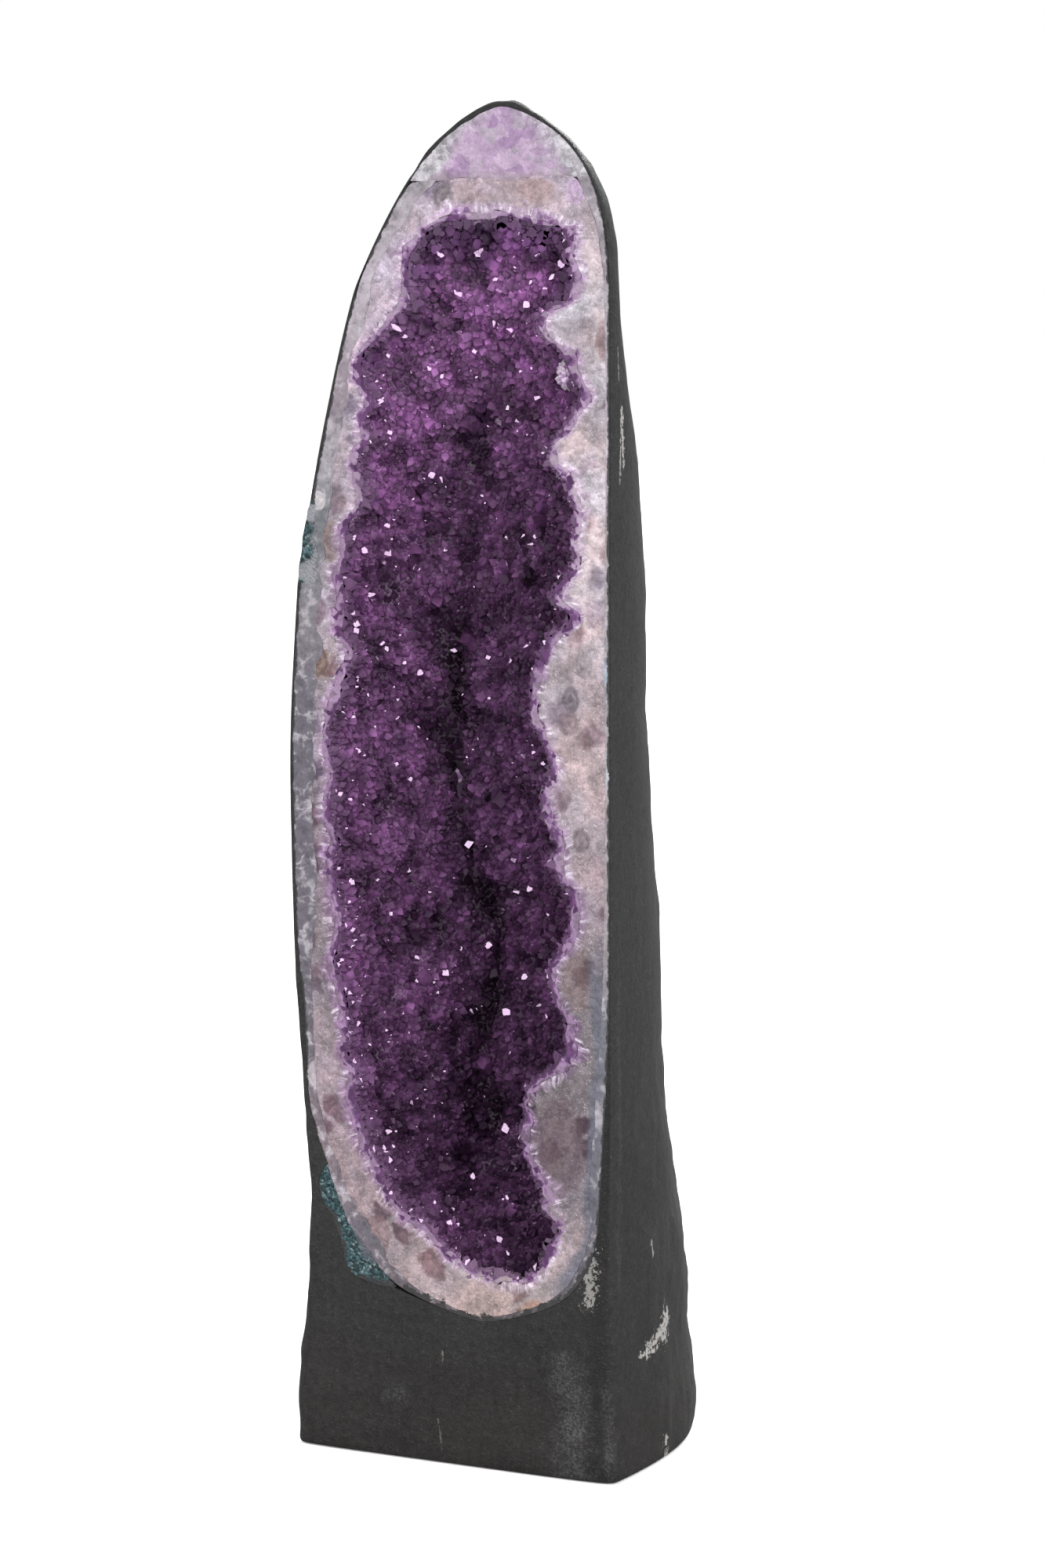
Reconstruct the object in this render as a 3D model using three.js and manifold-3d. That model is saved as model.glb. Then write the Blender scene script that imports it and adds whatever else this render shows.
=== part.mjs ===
// A tall amethyst geode, sawn open down its front, coated with cement behind and standing on a cement foot.
// Millimetres, +Z up. The sawn face looks along -Y, and +X is to the right of someone who faces it.
// The origin is on the floor, under the middle of the whole part.

import * as THREE from 'three';
import { mergeVertices } from 'three/addons/utils/BufferGeometryUtils.js';
import Module from 'manifold-3d';

const wasm = await Module();
wasm.setup();

// ---- driving sizes ----

const TOTAL_HEIGHT = 901;
const GAP = 0.3;                  // air between pieces that touch
const FACE_REACH = 20;            // how far the buried shapes run out past the sawn face before they are cut
const FACE_CENTRE = 3.3;          // moves the part sideways, so that the origin is under its middle
const FULL_DEPTH = 241;           // from the sawn face to the back of the foot
const SECTION_POWER = 2.4;        // 2 is an ellipse, more is squarer
const EDGE_ROUNDING = 4;          // the worn bottom edge of the foot
const FOOT_TOP = 98;              // below this height the part is solid cement
const CORNER_FOOT = 3;            // chamfer of the front upright corners at the foot
const CORNER_ROCK = 0.8;          // and beside the sawn rock
const CORNER_FADE = [100, 230];   // the heights between which the one becomes the other
const BREAK_HEIGHT = 852;         // an old break, across which the tip was glued back on
const BED_AT_FACE = 6;            // thickness of the crystal bed at the sawn face
const BED_AT_BACK = 12;           // and behind
const CREASE_DEPTH = 9;           // a deep fold low in the middle of the cavity
const CREASE_ANGLE = 1.92;
const CREASE_WIDTH = 0.25;
const CREASE_MIDDLE = 400;
const CREASE_LENGTH = 190;
const POINT_COUNT = 30;           // large single crystals
const POINT_SEAT = 4.5;           // how deep each one is rooted in the bed

// ---- outlines, as [height, distance] pairs ----

// The cement coat: its left and right edges on the sawn face, and its depth behind that face.
const coatLeft = [[0, -127], [50, -126], [105, -119], [175, -111], [240, -118], [345, -125], [480, -128],
  [585, -121], [660, -107], [740, -88], [790, -73], [842, -42], [867, -23], [884, -5], [897, 15], [901, 28]];
const coatRight = [[0, 121], [50, 120], [110, 119], [790, 118], [814, 116], [839, 111], [864, 97],
  [877, 88], [887, 75], [897, 56], [901, 46]];
const coatDepth = [[0, 236], [20, 241], [40, 240], [70, 228], [100, 225], [145, 216], [200, 188], [250, 173],
  [350, 168], [405, 156], [460, 141], [510, 132], [560, 133], [612, 127], [663, 109], [714, 83], [765, 54],
  [790, 46], [830, 42], [870, 30], [895, 18], [901, 14]];

// The outside of the rock.
const rockLeft = [[99, 12], [106, -27], [118, -50], [137, -68], [162, -84], [195, -99], [240, -115],
  [290, -114], [345, -122], [480, -125.5], [585, -118.5], [660, -104.5], [740, -85.5], [790, -70.5],
  [842, -39.5], [867, -20], [884, -1], [895, 18], [898.5, 30]];
const rockRight = [[99, 30], [107, 70], [116, 82], [139, 102], [153, 108], [205, 111], [257, 114.5],
  [310, 116.8], [790, 115.8], [814, 113.8], [839, 108.5], [864, 94.5], [877, 85], [887, 71], [895, 54],
  [898.5, 44]];
const rockDepth = [[99, 20], [106, 60], [118, 95], [139, 130], [162, 155], [200, 172], [250, 163],
  [350, 158], [405, 146], [460, 131], [510, 122], [560, 123], [612, 117], [663, 99], [714, 73], [765, 44],
  [790, 36], [830, 32], [870, 20], [890, 11], [898.5, 6]];

// Where the banded agate skin ends and the pale quartz begins.
const agateLeft = [[102, 14], [109, -23], [121, -40], [144, -61], [162, -71], [183, -83], [196, -92],
  [216, -99], [243, -107], [290, -110], [373, -107.5], [452, -109], [505, -107], [568, -103], [610, -100],
  [641, -96], [672, -88], [704, -79], [740, -71], [771, -65], [801, -54], [821, -39], [842, -22],
  [865, 5], [880, 30]];
const agateRight = [[102, 28], [110, 68], [120, 80], [143, 99], [163, 102.5], [204, 102.5], [246, 106],
  [288, 110], [334, 112.5], [385, 113], [462, 114], [543, 112.5], [639, 113.5], [740, 113], [790, 112],
  [814, 109], [839, 101], [864, 84], [880, 50]];
const agateDepth = [[102, 12], [109, 45], [121, 80], [144, 118], [162, 140], [200, 158], [250, 150],
  [350, 145], [405, 133], [460, 118], [510, 109], [560, 110], [612, 104], [663, 86], [714, 60], [765, 34],
  [790, 28], [830, 22], [865, 11], [880, 5]];

// Where the pale quartz ends and the purple crystals begin.
const purpleLeft = [[127, 30], [132, 5], [143, -12], [157, -27], [176, -49], [196, -67], [216, -79],
  [255, -85], [300, -90], [350, -94], [400, -101], [455, -99], [505, -98], [534, -84], [558, -95],
  [612, -89], [641, -81], [663, -66], [704, -69], [745, -64], [766, -47], [792, -34], [815, -22], [830, 5]];
const purpleRight = [[127, 60], [132, 72], [150, 76], [182, 77], [195, 62], [226, 54], [256, 61],
  [268, 84], [297, 89], [332, 80], [360, 94], [395, 97], [430, 80], [481, 72], [511, 69], [547, 73],
  [568, 90], [613, 93], [659, 94], [682, 76], [704, 93], [739, 93], [757, 76], [776, 90], [790, 85],
  [806, 94], [820, 92], [830, 60]];
const purpleDepth = [[127, 8], [132, 30], [143, 60], [157, 85], [176, 108], [200, 124], [250, 124],
  [300, 121], [350, 118], [405, 108], [460, 94], [510, 86], [560, 87], [612, 81], [663, 66], [704, 52],
  [745, 36], [776, 27], [806, 22], [820, 15], [830, 6]];

// Two patches of green rind that the coat leaves bare, seen from the front as [x, z].
const upperRind = [[-124, 588], [-106, 586], [-105, 612], [-106, 642], [-122, 644]];
const lowerRind = [[-106, 186], [-90, 205], [-40, 128], [-44, 116], [-58, 117], [-79, 120], [-85, 131],
  [-88, 145], [-94, 160], [-104, 171]];
const UPPER_RIND_DEPTH = 9;
const LOWER_RIND_DEPTH = 14;

// ---- materials ----

function stone(color, roughness) {
  return new THREE.MeshStandardMaterial({ color, roughness, metalness: 0 });
}

const paintedCement = stone(0x474647, 0.85);
const greenRind = stone(0x515b61, 0.8);
const agate = stone(0x7a767e, 0.45);
const paleQuartz = stone(0xbdb0b8, 0.4);
const lilacQuartz = stone(0xbaa3bc, 0.35);
const amethyst = stone(0x533855, 0.2);

// ---- solids ----

function solidFrom(geometry, matrix) {
  const bare = geometry.clone();
  bare.deleteAttribute('normal');
  bare.deleteAttribute('uv');
  if (matrix) bare.applyMatrix4(matrix);
  const merged = mergeVertices(bare, 1e-4);
  return new wasm.Manifold(new wasm.Mesh({
    numProp: 3,
    vertProperties: new Float32Array(merged.attributes.position.array),
    triVerts: new Uint32Array(merged.index.array),
  }));
}

function geometryFrom(solid) {
  const mesh = solid.getMesh();
  const geometry = new THREE.BufferGeometry();
  geometry.setAttribute('position', new THREE.BufferAttribute(mesh.vertProperties, 3));
  geometry.setIndex(new THREE.BufferAttribute(mesh.triVerts, 1));
  return geometry;
}

// A box given by its low and high corners.
function block(low, high) {
  const size = high.map((value, axis) => value - low[axis]);
  const middle = high.map((value, axis) => (value + low[axis]) / 2);
  const matrix = new THREE.Matrix4().makeTranslation(...middle);
  return solidFrom(new THREE.BoxGeometry(...size), matrix);
}

// Skins a stack of rings, each an array of THREE.Vector3 that runs anticlockwise seen from above.
function loft(rings) {
  const positions = [];
  const index = [];
  const count = rings[0].length;
  rings.forEach((ring) => ring.forEach((point) => positions.push(point.x, point.y, point.z)));
  for (let level = 0; level < rings.length - 1; level += 1) {
    for (let step = 0; step < count; step += 1) {
      const here = level * count + step;
      const next = level * count + (step + 1) % count;
      index.push(here, next, next + count);
      index.push(here, next + count, here + count);
    }
  }
  closeEnd(positions, index, rings[0], 0, true);
  closeEnd(positions, index, rings[rings.length - 1], (rings.length - 1) * count, false);
  const geometry = new THREE.BufferGeometry();
  geometry.setAttribute('position', new THREE.Float32BufferAttribute(positions, 3));
  geometry.setIndex(index);
  return solidFrom(geometry);
}

function closeEnd(positions, index, ring, first, facesDown) {
  const middle = new THREE.Vector3();
  ring.forEach((point) => middle.addScaledVector(point, 1 / ring.length));
  const hub = positions.length / 3;
  positions.push(middle.x, middle.y, middle.z);
  for (let step = 0; step < ring.length; step += 1) {
    const here = first + step;
    const next = first + (step + 1) % ring.length;
    if (facesDown) index.push(hub, next, here);
    else index.push(hub, here, next);
  }
}

// Reads one of the outlines above at any height.
function reader(pairs) {
  const heights = new Float32Array(pairs.map((pair) => pair[0]));
  const values = new Float32Array(pairs.map((pair) => pair[1]));
  const interpolant = new THREE.LinearInterpolant(heights, values, 1);
  const low = heights[0];
  const high = heights[heights.length - 1];
  return (height) => interpolant.evaluate(THREE.MathUtils.clamp(height, low, high))[0];
}

function power(value, exponent) {
  return Math.sign(value) * Math.abs(value) ** exponent;
}

// A point on the D-shaped section: angle 0 is the right edge, PI / 2 the back and PI the left edge.
function sectionPoint(left, right, depth, angle, height) {
  const exponent = 2 / SECTION_POWER;
  const x = (left + right) / 2 + (right - left) / 2 * power(Math.cos(angle), exponent);
  return new THREE.Vector3(x, depth * power(Math.sin(angle), exponent), height);
}

// Heights that crowd together towards both ends, where a shape rounds over.
function ringHeights(low, high, count) {
  const heights = [];
  for (let step = 0; step <= count; step += 1) {
    const even = step / count;
    const eased = (1 - Math.cos(Math.PI * even)) / 2;
    heights.push(THREE.MathUtils.lerp(low, high, 0.45 * even + 0.55 * eased));
  }
  return heights;
}

// A buried rounded shape that reaches out past the sawn face. The inset shrinks it all round, the end
// inset lifts its foot and lowers its top, and the lump thins it from place to place.
function pod({ left, right, depth, rings, segments, inset = 0, endInset = inset, lump = () => 0 }) {
  const leftAt = reader(left);
  const rightAt = reader(right);
  const depthAt = reader(depth);
  const low = left[0][0];
  const high = left[left.length - 1][0];
  return loft(ringHeights(low, high, rings).map((height, level) => {
    const ring = [];
    let lift = 0;
    if (level === 0) lift = endInset;
    if (level === rings) lift = -endInset;
    for (let step = 0; step <= segments; step += 1) {
      const angle = Math.PI * step / segments;
      const extra = inset + lump(angle, height);
      const a = leftAt(height) + extra;
      const b = rightAt(height) - extra;
      ring.push(sectionPoint(a, b, Math.max(depthAt(height) - extra, 2), angle, height + lift));
    }
    ring.push(new THREE.Vector3(leftAt(height) + inset, -FACE_REACH, height + lift));
    ring.push(new THREE.Vector3(rightAt(height) - inset, -FACE_REACH, height + lift));
    return ring;
  }));
}

// ---- the cement coat and foot, one casting ----

function coatSolid() {
  const leftAt = reader(coatLeft);
  const rightAt = reader(coatRight);
  const depthAt = reader(coatDepth);
  const segments = 20;
  const upper = ringHeights(FOOT_TOP, TOTAL_HEIGHT, 24).slice(1);
  const heights = [0, EDGE_ROUNDING / 4, EDGE_ROUNDING, 20, 40, 70, FOOT_TOP, ...upper];
  return loft(heights.map((height) => {
    const below = Math.max(EDGE_ROUNDING - height, 0);
    const tuck = EDGE_ROUNDING - Math.sqrt(EDGE_ROUNDING ** 2 - below ** 2);
    const fade = THREE.MathUtils.smoothstep(height, ...CORNER_FADE);
    const corner = THREE.MathUtils.lerp(CORNER_FOOT, CORNER_ROCK, fade);
    const left = leftAt(height) + tuck;
    const right = rightAt(height) - tuck;
    const front = tuck / 2;
    const ring = [new THREE.Vector3(right, front + corner, height)];
    for (let step = 1; step < segments; step += 1) {
      const angle = Math.PI * step / segments;
      ring.push(sectionPoint(left, right, depthAt(height) - tuck, angle, height));
    }
    ring.push(new THREE.Vector3(left, front + corner, height));
    ring.push(new THREE.Vector3(left + corner, front, height));
    ring.push(new THREE.Vector3(right - corner, front, height));
    return ring;
  }));
}

// A slab cut to an outline seen from the front, running back from the sawn face.
function slab(outline, depth, grow) {
  const xs = outline.map((pair) => pair[0]);
  const zs = outline.map((pair) => pair[1]);
  const centre = [(Math.min(...xs) + Math.max(...xs)) / 2, (Math.min(...zs) + Math.max(...zs)) / 2];
  const scaleX = 1 + 2 * grow / (Math.max(...xs) - Math.min(...xs));
  const scaleZ = 1 + 2 * grow / (Math.max(...zs) - Math.min(...zs));
  const corners = outline.map(([x, z]) => new THREE.Vector2(
    centre[0] + (x - centre[0]) * scaleX,
    centre[1] + (z - centre[1]) * scaleZ,
  ));
  const shape = new THREE.Shape(corners);
  const geometry = new THREE.ExtrudeGeometry(shape, { depth: depth + grow + FACE_REACH, bevelEnabled: false });
  const matrix = new THREE.Matrix4().makeRotationX(Math.PI / 2);
  matrix.setPosition(0, depth + grow, 0);
  return solidFrom(geometry, matrix);
}

// ---- the crystal bed and the single crystals ----

function crease(angle, height) {
  const across = (angle - CREASE_ANGLE) / CREASE_WIDTH;
  const along = (height - CREASE_MIDDLE) / CREASE_LENGTH;
  return CREASE_DEPTH * Math.exp(-across * across) * Math.exp(-(along ** 4));
}

function bedThickness(angle, height) {
  const base = THREE.MathUtils.lerp(BED_AT_FACE, BED_AT_BACK, Math.sin(angle));
  const swell = 1.6 * Math.sin(height / 13 + 4 * angle) + 1.2 * Math.sin(height / 8.5 - 6 * angle);
  return base + swell * Math.sin(angle) - crease(angle, height);
}

const purple = { left: purpleLeft, right: purpleRight, depth: purpleDepth };
const cavity = { ...purple, rings: 36, segments: 18, endInset: BED_AT_FACE / 2, lump: bedThickness };

const cavityLeftAt = reader(purpleLeft);
const cavityRightAt = reader(purpleRight);
const cavityDepthAt = reader(purpleDepth);

function cavityPoint(angle, height) {
  const extra = bedThickness(angle, height);
  const left = cavityLeftAt(height) + extra;
  const right = cavityRightAt(height) - extra;
  return sectionPoint(left, right, cavityDepthAt(height) - extra, angle, height);
}

// The direction that faces the inside of the cavity from a point on its wall.
function cavityNormal(angle, height) {
  const turn = 0.15;
  const rise = 14;
  const around = cavityPoint(angle + turn, height).sub(cavityPoint(angle - turn, height));
  const up = cavityPoint(angle, height + rise).sub(cavityPoint(angle, height - rise));
  return up.cross(around).normalize();
}

// A six-sided prism under a six-sided point, standing on the XY plane.
function crystalGeometry(radius, length, grow) {
  const profile = [
    new THREE.Vector2(0, -POINT_SEAT - grow),
    new THREE.Vector2(radius * 0.82 + grow, -POINT_SEAT - grow),
    new THREE.Vector2(radius + grow, length * 0.45),
    new THREE.Vector2(0, length + grow * 1.5),
  ];
  return new THREE.LatheGeometry(profile, 6).rotateX(Math.PI / 2);
}

// Each single crystal has its own place on the wall, size and lean.
function crystalPlan(number) {
  const height = 168 + number * 21;
  const angle = 0.55 + (number * 0.83) % 1.95;
  const radius = 5.4 + 1.5 * Math.sin(number * 2.1);
  const length = radius * (2.1 + 0.4 * Math.cos(number * 1.7));
  const lean = new THREE.Vector3(Math.sin(number * 3.3), -0.4, Math.cos(number * 2.6)).multiplyScalar(0.28);
  const direction = cavityNormal(angle, height).add(lean).normalize();
  return { place: cavityPoint(angle, height), direction, radius, length, twist: number * 0.7 };
}

function crystalMatrix(plan) {
  const turn = new THREE.Quaternion().setFromUnitVectors(new THREE.Vector3(0, 0, 1), plan.direction);
  turn.multiply(new THREE.Quaternion().setFromAxisAngle(new THREE.Vector3(0, 0, 1), plan.twist));
  return new THREE.Matrix4().compose(plan.place, turn, new THREE.Vector3(1, 1, 1));
}

// ---- pale quartz knobs on the right lip of the cavity ----

const knobs = [
  { name: 'quartz_knob_upper', place: [82, 9, 726], size: [8, 7, 10] },
  { name: 'quartz_knob_lower', place: [82, 8, 681], size: [10, 7, 10] },
];

function knobSolid(knob, grow) {
  const matrix = new THREE.Matrix4().makeTranslation(...knob.place);
  matrix.scale(new THREE.Vector3(...knob.size.map((value) => value + grow)));
  return solidFrom(new THREE.IcosahedronGeometry(1, 1), matrix);
}

// ---- cutting the pieces out of each other ----

const behindFace = block([-300, 0, -50], [300, 400, 1000]);
const belowBreak = block([-300, -100, -50], [300, 400, BREAK_HEIGHT - GAP]);
const aboveBreak = block([-300, -100, BREAK_HEIGHT], [300, 400, 1000]);

const rock = { left: rockLeft, right: rockRight, depth: rockDepth, rings: 26, segments: 18 };
const skin = { left: agateLeft, right: agateRight, depth: agateDepth, rings: 26, segments: 18 };
const lining = { ...purple, rings: 36, segments: 14 };

let coat = coatSolid().subtract(pod(rock));
let rockWall = pod({ ...rock, inset: GAP }).intersect(behindFace);
let agateBand = rockWall.intersect(belowBreak).subtract(pod(skin));
let quartzBand = pod({ ...skin, inset: GAP }).intersect(behindFace).intersect(belowBreak).subtract(pod(lining));
let bed = pod({ ...lining, inset: GAP }).intersect(behindFace).subtract(pod(cavity));
const tip = rockWall.intersect(aboveBreak);

const upperPatch = slab(upperRind, UPPER_RIND_DEPTH, 0).intersect(coatSolid());
const upperPocket = slab(upperRind, UPPER_RIND_DEPTH, GAP);
const lowerPatch = slab(lowerRind, LOWER_RIND_DEPTH, 0).intersect(coat);
const lowerPocket = slab(lowerRind, LOWER_RIND_DEPTH, GAP);
coat = coat.subtract(upperPocket).subtract(lowerPocket);
agateBand = agateBand.subtract(upperPocket);

knobs.forEach((knob) => {
  quartzBand = quartzBand.subtract(knobSolid(knob, GAP));
  bed = bed.subtract(knobSolid(knob, GAP));
});

const plans = Array.from({ length: POINT_COUNT }, (_, number) => crystalPlan(number));
plans.forEach((plan) => {
  const socket = solidFrom(crystalGeometry(plan.radius, plan.length, GAP), crystalMatrix(plan));
  bed = bed.subtract(socket);
  quartzBand = quartzBand.subtract(socket);
});

// ---- the finished part ----

const group = new THREE.Group();
group.position.set(FACE_CENTRE, -FULL_DEPTH / 2, 0);

function addPiece(name, geometry, material) {
  const mesh = new THREE.Mesh(geometry, material);
  mesh.name = name;
  group.add(mesh);
  return mesh;
}

addPiece('cement_coat_and_foot', geometryFrom(coat), paintedCement);
addPiece('green_rind_upper', geometryFrom(upperPatch), greenRind);
addPiece('green_rind_lower', geometryFrom(lowerPatch), greenRind);
addPiece('agate_band', geometryFrom(agateBand), agate);
addPiece('quartz_band', geometryFrom(quartzBand), paleQuartz);
addPiece('lilac_quartz_tip', geometryFrom(tip), lilacQuartz);
addPiece('amethyst_bed', geometryFrom(bed), amethyst);
knobs.forEach((knob) => addPiece(knob.name, geometryFrom(knobSolid(knob, 0)), lilacQuartz));
plans.forEach((plan, number) => {
  const name = `amethyst_point_${String(number + 1).padStart(2, '0')}`;
  const mesh = addPiece(name, crystalGeometry(plan.radius, plan.length, 0), amethyst);
  crystalMatrix(plan).decompose(mesh.position, mesh.quaternion, mesh.scale);
});

export default group;
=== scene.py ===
import math

import bmesh
import bpy
import numpy as np
from mathutils import Matrix, Vector
from mathutils.bvhtree import BVHTree
from mathutils.kdtree import KDTree


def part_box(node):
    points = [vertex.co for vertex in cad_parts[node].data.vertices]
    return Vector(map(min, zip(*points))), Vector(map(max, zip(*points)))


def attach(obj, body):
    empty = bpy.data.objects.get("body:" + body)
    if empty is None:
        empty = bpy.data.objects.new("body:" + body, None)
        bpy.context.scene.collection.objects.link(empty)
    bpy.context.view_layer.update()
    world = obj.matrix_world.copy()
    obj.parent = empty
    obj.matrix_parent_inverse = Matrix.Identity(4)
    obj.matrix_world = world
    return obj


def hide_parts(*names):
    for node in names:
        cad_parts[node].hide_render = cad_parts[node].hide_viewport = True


bl_info = {
    "name": "Amethyst Geode",
    "version": (1, 0, 0),
    "blender": (4, 5, 0),
    "location": "View3D > Sidebar > Geode",
    "description": "Builds the finished surfaces of a tall sawn amethyst geode around its packed solids",
    "category": "Object",
}

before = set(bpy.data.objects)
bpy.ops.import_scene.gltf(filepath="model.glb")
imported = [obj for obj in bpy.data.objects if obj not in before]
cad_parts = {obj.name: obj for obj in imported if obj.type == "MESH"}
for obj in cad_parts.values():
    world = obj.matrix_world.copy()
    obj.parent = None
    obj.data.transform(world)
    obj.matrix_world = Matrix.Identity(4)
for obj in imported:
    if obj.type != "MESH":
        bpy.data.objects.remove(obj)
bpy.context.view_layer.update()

MM = 0.001
FACE_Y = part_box("quartz_band")[0].y          # the sawn plane
FACE_CENTRE = (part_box("cement_coat_and_foot")[0].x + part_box("cement_coat_and_foot")[1].x) / 2
BREAK_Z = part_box("lilac_quartz_tip")[0].z
SIDEWAYS = 3.3 * MM                           # the rock's own middle line, right of the face's middle
ON_FACE = 0.02 * MM                           # how near the sawn plane a corner counts as on it
DRUSE_BANDS = 6                               # the drusy crystals are split by height into as many pieces
DRUSE_SHAPES, KNOB_SHAPES = 12, 6             # how many different crystals each kind is made from
POINTS = sorted(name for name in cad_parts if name.startswith("amethyst_point"))
KNOBS = ("quartz_knob_upper", "quartz_knob_lower")


# ---------------------------------------------------------------- numbers and noise

def linear(red, green, blue):
    """A display colour of 0 to 255 a channel, as the linear colour that shaders take."""
    def one(value):
        value /= 255
        return value / 12.92 if value <= 0.04045 else ((value + 0.055) / 1.055) ** 2.4
    return one(red), one(green), one(blue), 1.0


def on_face(x, z, behind=0):
    """A place from millimetres right of the rock's middle line, above the floor and behind the sawn face."""
    return Vector((FACE_CENTRE + SIDEWAYS + x * MM, FACE_Y + behind * MM, z * MM))


def smooth_step(values, low, high):
    share = np.clip((values - low) / (high - low), 0, 1)
    return share * share * (3 - 2 * share)


def lattice_noise(points, cell, seed):
    """Gradient noise of about -1 to 1 at each point, with features about one cell wide."""
    table = np.random.default_rng(seed)
    turns = table.permutation(256)
    arrows = table.normal(size=(256, 3))
    arrows /= np.linalg.norm(arrows, axis=1)[:, None]
    scaled = points / cell
    corner = np.floor(scaled).astype(int)
    inside = scaled - corner
    blend = inside * inside * inside * (inside * (inside * 6 - 15) + 10)
    total = np.zeros(len(points))
    for dx in (0, 1):
        for dy in (0, 1):
            for dz in (0, 1):
                index = turns[(corner[:, 0] + dx) % 256]
                index = turns[(index + corner[:, 1] + dy) % 256]
                index = turns[(index + corner[:, 2] + dz) % 256]
                reach = inside - np.array((dx, dy, dz))
                weight = np.abs(1 - dx - blend[:, 0]) * np.abs(1 - dy - blend[:, 1])
                weight *= np.abs(1 - dz - blend[:, 2])
                total += weight * np.einsum("ij,ij->i", arrows[index], reach)
    return total * 1.6


def layered_noise(points, cell, seed, layers=3):
    return sum(lattice_noise(points, cell / 2 ** k, seed + k) / 2 ** k for k in range(layers))


# ---------------------------------------------------------------- mesh helpers

def select_only(obj):
    bpy.ops.object.select_all(action="DESELECT")
    obj.select_set(True)
    bpy.context.view_layer.objects.active = obj


def edit(obj, kind="FACE"):
    """Opens a piece's mesh with nothing selected."""
    select_only(obj)
    bpy.ops.object.mode_set(mode="EDIT")
    bpy.ops.mesh.select_mode(type=kind)
    bpy.ops.mesh.select_all(action="DESELECT")


def leave_edit():
    bpy.ops.mesh.select_mode(type="FACE")
    bpy.ops.object.mode_set(mode="OBJECT")


def coordinates(obj, kind="co"):
    values = np.empty(len(obj.data.vertices) * 3)
    obj.data.vertices.foreach_get(kind, values)
    return values.reshape(-1, 3)


def place_coordinates(obj, points):
    obj.data.vertices.foreach_set("co", np.ascontiguousarray(points).ravel())
    obj.data.update()


def store(obj, name, values):
    """Keeps one number or one vector for each vertex, for the materials to read."""
    values = np.asarray(values, dtype=np.float32)
    kind, key = ("FLOAT", "value") if values.ndim == 1 else ("FLOAT_VECTOR", "vector")
    layer = obj.data.attributes.new(name, kind, "POINT")
    layer.data.foreach_set(key, values.ravel())


def merged_copy(node, name):
    """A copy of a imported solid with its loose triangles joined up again."""
    obj = bpy.data.objects.new(name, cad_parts[node].data.copy())
    bpy.context.scene.collection.objects.link(obj)
    obj.data.materials.clear()
    for layer in [a.name for a in obj.data.attributes if a.name.startswith("custom")]:
        obj.data.attributes.remove(obj.data.attributes[layer])
    select_only(obj)
    bpy.ops.object.mode_set(mode="EDIT")
    bpy.ops.mesh.select_all(action="SELECT")
    bpy.ops.mesh.remove_doubles(threshold=0.01 * MM)
    bpy.ops.mesh.tris_convert_to_quads(face_threshold=math.radians(30), shape_threshold=math.radians(50))
    bpy.ops.object.mode_set(mode="OBJECT")
    return obj


def tree_of(node):
    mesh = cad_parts[node].data
    return BVHTree.FromPolygons([v.co for v in mesh.vertices], [p.vertices for p in mesh.polygons])


def nearest(tree, points):
    """The closest place on a surface and the distance to it, for each point."""
    found = [tree.find_nearest(Vector(point)) for point in points]
    return np.array([hit[0] for hit in found]), np.array([hit[3] for hit in found])


def point_tree(points):
    tree = KDTree(len(points))
    for index, point in enumerate(points):
        tree.insert(point, index)
    tree.balance()
    return tree


def round_over(obj, levels, sharp=55):
    """Smooths a faceted solid and keeps its sawn edges crisp."""
    edit(obj, "EDGE")
    bpy.ops.mesh.edges_select_sharp(sharpness=math.radians(sharp))
    bpy.ops.transform.edge_crease(value=1)
    leave_edit()
    rounding = obj.modifiers.new("rounding", "SUBSURF")
    rounding.levels = levels
    rounding.render_levels = levels
    bpy.ops.object.modifier_apply(modifier=rounding.name)


def refine_face(obj, longest):
    """Cuts up what lies on the sawn plane until no edge there is longer than the given length."""
    most_rounds = 9
    edit(obj, "EDGE")
    for _ in range(most_rounds):
        bpy.ops.mesh.select_all(action="DESELECT")
        shape = bmesh.from_edit_mesh(obj.data)
        long_edges = 0
        for edge in shape.edges:
            on_plane = all(abs(v.co.y - FACE_Y) < ON_FACE for v in edge.verts)
            edge.select = on_plane and edge.calc_length() > longest
            long_edges += edge.select
        bmesh.update_edit_mesh(obj.data)
        if not long_edges:
            break
        bpy.ops.mesh.subdivide(number_cuts=1)
        bpy.ops.mesh.select_all(action="SELECT")
        shape = bmesh.from_edit_mesh(obj.data)
        for face in shape.faces:
            flat = all(abs(v.co.y - FACE_Y) < ON_FACE for v in face.verts)
            face.select = flat or len(face.verts) > 4
        bmesh.update_edit_mesh(obj.data)
        bpy.ops.mesh.quads_convert_to_tris(quad_method="SHORTEST_DIAGONAL", ngon_method="BEAUTY")
        bpy.ops.mesh.beautify_fill(angle_limit=math.radians(1))
    leave_edit()


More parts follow.
